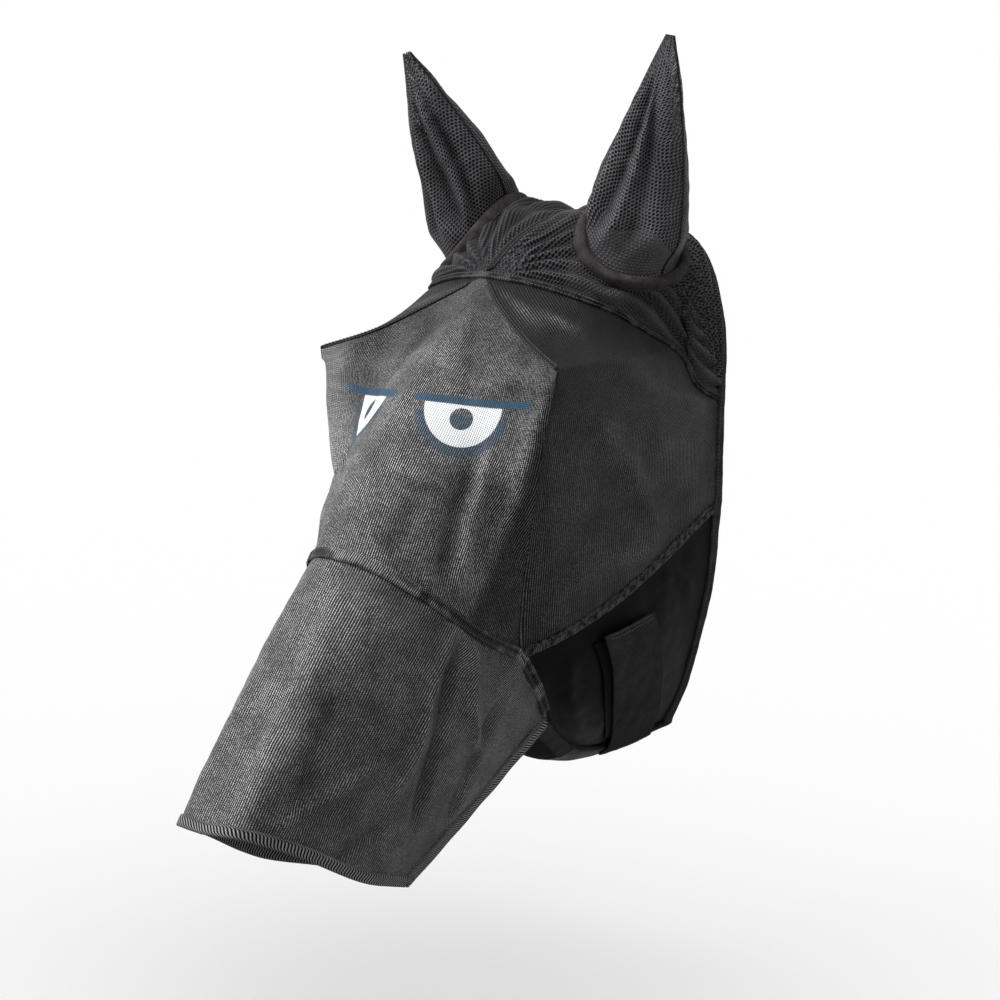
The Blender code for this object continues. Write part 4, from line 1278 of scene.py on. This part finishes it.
def hem():
    """The twill tape folded round the nose panel's free edges."""
    nose = NET["nose"]
    outer = join(nose[-1], nose[::-1, -1])
    inner = join(inset_row(nose, "top", HEM_WIDTH), inset_row(nose, "right", JAW_HEM_WIDTH)[::-1])
    normals = normals_of(nose)
    up = np.vstack([normals[-1], normals[::-1, -1][1:]])
    total = lengths_along(outer)[-1]
    places = np.linspace(0, total - 3, HEM_STATIONS) / total
    inner, outer = (along(line, places * lengths_along(line)[-1]) for line in (inner, outer))
    up = units(read_at(up, places))
    corner = np.argmin(np.linalg.norm(outer - np.array(HEM_CORNER), axis=1))
    for line in (inner, outer):
        for _ in range(10):
            before, here, after = (line[corner - 6 + k : corner + 7 + k] for k in (-1, 0, 1))
            line[corner - 6 : corner + 7] = (before + 2 * here + after) / 4
    inner[0, 0] = outer[0, 0] = 0
    inner, outer, up = (np.vstack([flipped(line, -1)[:0:-1], line]) for line in (inner, outer, up))
    roll(
        "hem_tape", (inner, outer, units(up)), 3.0, TWILL, MASK, ("nose_hem_tape",), power=3.2,
        segments=20, crush=0.9,
    )
    stitches("hem_stitches", stitch_row(inner * 0.86 + outer * 0.14, units(up), 1.45), MASK)


# ---- Bindings ----


def rear_strip():
    """The left rear binding's inner and outer lines and its normals."""
    poll, side, cheek, rear = (NET[key] for key in ("poll", "side", "cheek", "rear"))
    seam = fine(SEAM_FRONT_COUNT + SEAM_SIDE_COUNT - 1) - 1
    top = poll[:, fine(CROWN_COUNT) - 1 + seam :][:, ::-1]
    middle = side[:, seam : seam + fine(REAR_MIDDLE_COUNT)]
    edges = ((top, "top"), (middle, "top"), (cheek, "left"))
    inner = join(*(inset_row(grid, edge, REAR_WIDTH) for grid, edge in edges))
    ups = join(*(normals_of(grid)[-1] if edge == "top" else normals_of(grid)[:, 0] for grid, edge in edges))
    total = lengths_along(rear)[-1]
    places = np.linspace(0.4, total - 1.0, REAR_STATIONS) / total
    inner, outer, up = (read_at(line, places, lengths_along(rear) / total) for line in (inner, rear, ups))
    up = units(up)
    inner[:, 0] = np.maximum(inner[:, 0], 0.3)
    outer[:, 0] = np.maximum(outer[:, 0], 0.3)
    for _ in range(12):
        inner[1:-1] = (inner[:-2] + 2 * inner[1:-1] + inner[2:]) / 4
        up[1:-1] = units(up[:-2] + 2 * up[1:-1] + up[2:])
    ahead = units(np.gradient(outer, axis=0))
    width = inner - outer
    width -= (width * ahead).sum(axis=1, keepdims=True) * ahead
    return outer + units(width) * REAR_WIDTH, outer, up


def jaw_strip():
    """The left jaw binding's inner and outer lines and its normals."""
    cheek = NET["cheek"]
    normals = normals_of(cheek)[:, -1]
    forward = np.cross(normals, np.gradient(cheek[:, -1], axis=0))
    forward = units(forward * np.sign(-forward[:, 1:2]))
    low = slice(fine(NOSE_SIDE_COUNT) - 1, None)
    edge, forward = cheek[low, -1], forward[low]
    inner, outer = trimmed([edge - 1.5 * forward, edge + JAW_BINDING_WIDTH * forward], 16, 0)
    return inner, outer, units(read_at(normals[low], np.linspace(0.2, 1, len(inner))))


def bindings():
    """The fleece strips along the neck opening and the front edge of each cheek."""
    rear, jaw = rear_strip(), jaw_strip()
    for name, hand in HANDS:
        inner, outer, up = strip = [flipped(line, hand) for line in rear]
        obj = roll(
            f"{name}_rear_pile", strip, 6.0, FLEECE, MASK, (f"{name}_rear_binding",), power=2.6, lumps=0.5,
            groove=130,
        )
        stitches(f"{name}_rear_stitches", stitch_row(inner * 0.88 + outer * 0.12, up, 2.1), MASK)
        strip = [flipped(line, hand) for line in jaw]
        obj = roll(
            f"{name}_jaw_pile", strip, 6.2, FLEECE, MASK, (f"{name}_jaw_binding",), power=2.8, lumps=0.5
        )


# ---- Cheeks and closure ----


def cheek_cloth():
    """The smooth lower panels, drawn into small creases at the jaw and along the seam."""
    grid = NET["cheek"]
    across, down = shares_of(grid)
    held = smooth_step(down, 0, 0.12) * smooth_step(1 - down, 0, 0.08)
    held = held * smooth_step(across, 0.02, 0.14) * smooth_step(1 - across, 0, 0.1)
    for name, hand in HANDS:
        where = flipped(grid, hand)
        lift = held * (1.8 * cloud(where, 34.0, 1.0) + 0.6 * cloud(where, 13.0, 5.0))
        add_folds(lift, grid, CHEEK_FOLDS + (RIGHT_CHEEK_FOLDS if hand < 0 else ()))
        shaped = grid + lift[..., None] * normals_of(grid)
        obj = piece(
            f"{name}_cheek_cloth", [(flipped(shaped, hand), shaped[..., 1:] * MM)], CHEEK_CLOTH, MASK,
            (f"{name}_cheek_panel",), thick=1.2, offset=-1.0,
        )
        as_sheet(obj, [shaped])


def patch(grid, corners, rise, rows, columns):
    """A grid that lies on another one's outside, between corners given as fractions across and up it."""
    corner = np.array(corners, float)
    across = np.linspace(0, 1, columns)[None, :, None]
    down = np.linspace(0, 1, rows)[:, None, None]
    upper = (1 - across) * corner[0] + across * corner[1]
    lower = (1 - across) * corner[2] + across * corner[3]
    place = (1 - down) * upper + down * lower
    out = units(sample(normals_of(grid), place[..., 0], place[..., 1]))
    return sample(grid, place[..., 0], place[..., 1]) + rise * out, out


def throat_flap():
    """The throat flap, which laps over both cheeks' jaw edges, with its two fleece edges; returns its grid."""
    cheek = NET["cheek"]
    jaw = cheek[-1]
    rows = []
    for share in np.linspace(-1, 1, FLAP_ROWS):
        row = jaw * (share, 1, 1)
        row[:, 2] -= FLAP_CLEAR + FLAP_DROP * (1 - share * share)
        rows.append(row)
    lip = jaw + LAP_OUT * normals_of(cheek)[-1] + np.array((0, 0, LAP_UP))
    grid = np.array([flipped(lip, -1), *rows, lip])
    _, around = shares_of(grid)
    held = smooth_step(around, 0, 0.15) * smooth_step(1 - around, 0, 0.15)
    lift = held * (1.1 * cloud(grid, 26.0, 2.0) + 0.8 * cloud(grid * (0.4, 1, 1), 10.0, 4.0))
    grid = grid + lift[..., None] * normals_of(grid)
    flap = piece(
        "throat_cloth", [(grid, grid[..., :2] * MM)], CHEEK_CLOTH, None, ("throat_flap",), thick=2.0, offset=1.0
    )
    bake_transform(flap)
    as_sheet(flap, [grid])
    for label, column, inside in (("front", -1, -4), ("rear", 0, 3)):
        line = grid[:, column]
        beside = units(line - grid[:, inside])
        strip = (line - 6.5 * beside, line + 1.2 * beside, normals_of(grid)[:, column])
        obj = roll(f"throat_{label}_edge", strip, 4.6, FLEECE, None, power=2.7, lumps=0.35, segments=18)
        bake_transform(obj)
    return grid


def closure():
    """The throat flap, the hook pad, and the loop tab with its turned end and its foot sewn to the flap."""
    flap = throat_flap()
    cheek = NET["cheek"]
    pad, _ = patch(cheek, PAD_CORNERS, PAD_CLEAR, 50, 30)
    piece("hook_strip", [(pad, weave_lengths(pad))], HOOK, MASK, ("hook_pad",), thick=1.5, offset=0.0)

    tab, out = patch(cheek, TAB_CORNERS, TAB_CLEAR, TAB_ROWS, TAB_COLUMNS)
    _, down = shares_of(tab)
    length = lengths_along(tab[:, TAB_COLUMNS // 2])[-1]
    turned = smooth_step(TAB_TURN - down * length, 0, 1.2)
    ripple = 0.9 * cloud(tab, 30.0, 2.0) + 0.25 * cloud(tab, 9.0, 3.0)
    tab = tab + (0.9 * turned + ripple * smooth_step(1 - down, 0, 0.1))[..., None] * out
    foot_share, _ = np.meshgrid(np.linspace(TAB_CORNERS[2][0], TAB_CORNERS[3][0], TAB_COLUMNS), np.ones(FOOT_ROWS))
    around = np.linspace(*TAB_FOOT, FOOT_ROWS)[:, None] * np.ones((1, TAB_COLUMNS))
    under = sample(flap, foot_share, around) + FOOT_CLEAR * units(sample(normals_of(flap), foot_share, around))
    whole = np.vstack([tab, under])
    obj = piece(
        "loop_tab", [(whole, weave_lengths(whole))], LOOP, None, ("closure_tab",), thick=1.8, offset=1.0
    )
    bevel = obj.modifiers.new("worn edge", "BEVEL")
    bevel.width = 0.5 * MM
    bevel.segments = 2
    bevel.limit_method = "ANGLE"
    foot, rise = ((tab[row, 0] + tab[row, -1]) / 2 for row in (-1, -20))
    tuple(foot * MM)
    tuple(rise * MM)
    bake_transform(obj)
    as_sheet(obj, [whole])

    face = normals_of(whole)
    rows = []
    for part, place in ((tab, 1.3 / length), (tab, (TAB_TURN - 1.6) / length), (under, 0.35), (under, 0.9)):
        line = sample(part, np.linspace(0.03, 0.97, 30), np.full(30, place))
        near = np.argmin(np.linalg.norm(whole.reshape(-1, 1, 3)[::7] - line[None], axis=-1), axis=0)
        rows += stitch_row(line, face.reshape(-1, 3)[::7][near], 1.85)
    sewn = stitches("tab_stitches", rows, None)
    tuple(foot * MM)
    tuple(rise * MM)
    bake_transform(sewn)


# ---- Stage ----

# Each lamp's azimuth, elevation, distance and power.
LAMPS = {"key": (-38, 42, 2.4, 140), "rim": (125, 35, 2.6, 15), "top": (15, 78, 2.2, 60)}


def shown(obj):
    bpy.context.scene.collection.objects.link(obj)
    return obj


def back_from(azimuth, elevation):
    """The direction from the target to where a lamp or the camera stands."""
    a, e = math.radians(azimuth), math.radians(elevation)
    return Vector((math.sin(a) * math.cos(e), -math.cos(a) * math.cos(e), math.sin(e)))


def stage():
    """A pale floor and backdrop, soft lights and the camera."""
    paper = Fabric("paper", (1, 1, 1), 0.9, 0.1)
    bm = bmesh.new()
    bmesh.ops.create_grid(bm, x_segments=1, y_segments=1, size=FLOOR_HALF)
    mesh = finished(bm, "floor")
    mesh.materials.append(paper.material)
    floor = shown(bpy.data.objects.new("floor", mesh))
    floor.location = (0, 0, CAD_BOX[0][2] - FLOOR_DROP)
    unlit = bpy.data.collections.new("not lit by the lamps")
    unlit.objects.link(floor)
    unlit.collection_objects[0].light_linking.link_state = "EXCLUDE"

    world = bpy.context.scene.world = bpy.data.worlds.new("studio")
    world.use_nodes = True
    background = world.node_tree.nodes["Background"]
    background.inputs["Color"].default_value = (1, 1, 1, 1)
    background.inputs["Strength"].default_value = 1.0

    target = Vector(CAMERA_TARGET)
    for name, (azimuth, elevation, distance, power) in LAMPS.items():
        light = bpy.data.lights.new(name, "AREA")
        light.energy = power
        light.size = 1.0
        lamp = shown(bpy.data.objects.new(name, light))
        back = back_from(azimuth, elevation)
        lamp.location = target + back * distance
        lamp.rotation_euler = (-back).to_track_quat("-Z", "Y").to_euler()
        lamp.light_linking.receiver_collection = unlit

    camera = shown(bpy.data.objects.new("camera", bpy.data.cameras.new("camera")))
    camera.data.lens = CAMERA_LENS
    camera.data.sensor_width = 36
    camera.data.clip_end = 100
    back = back_from(CAMERA_AZIMUTH, CAMERA_ELEVATION)
    camera.location = target + back * CAMERA_DISTANCE
    camera.rotation_mode = "QUATERNION"
    camera.rotation_quaternion = (-back).to_track_quat("-Z", "Y")
    bpy.context.scene.camera = camera
    bpy.context.scene.view_settings.view_transform = "Standard"


stage()
face_cloth()
nose_cloth()
poll_cloth()
ear_trims()
ear_cloth()
tapes()
hem()
bindings()
cheek_cloth()
closure()
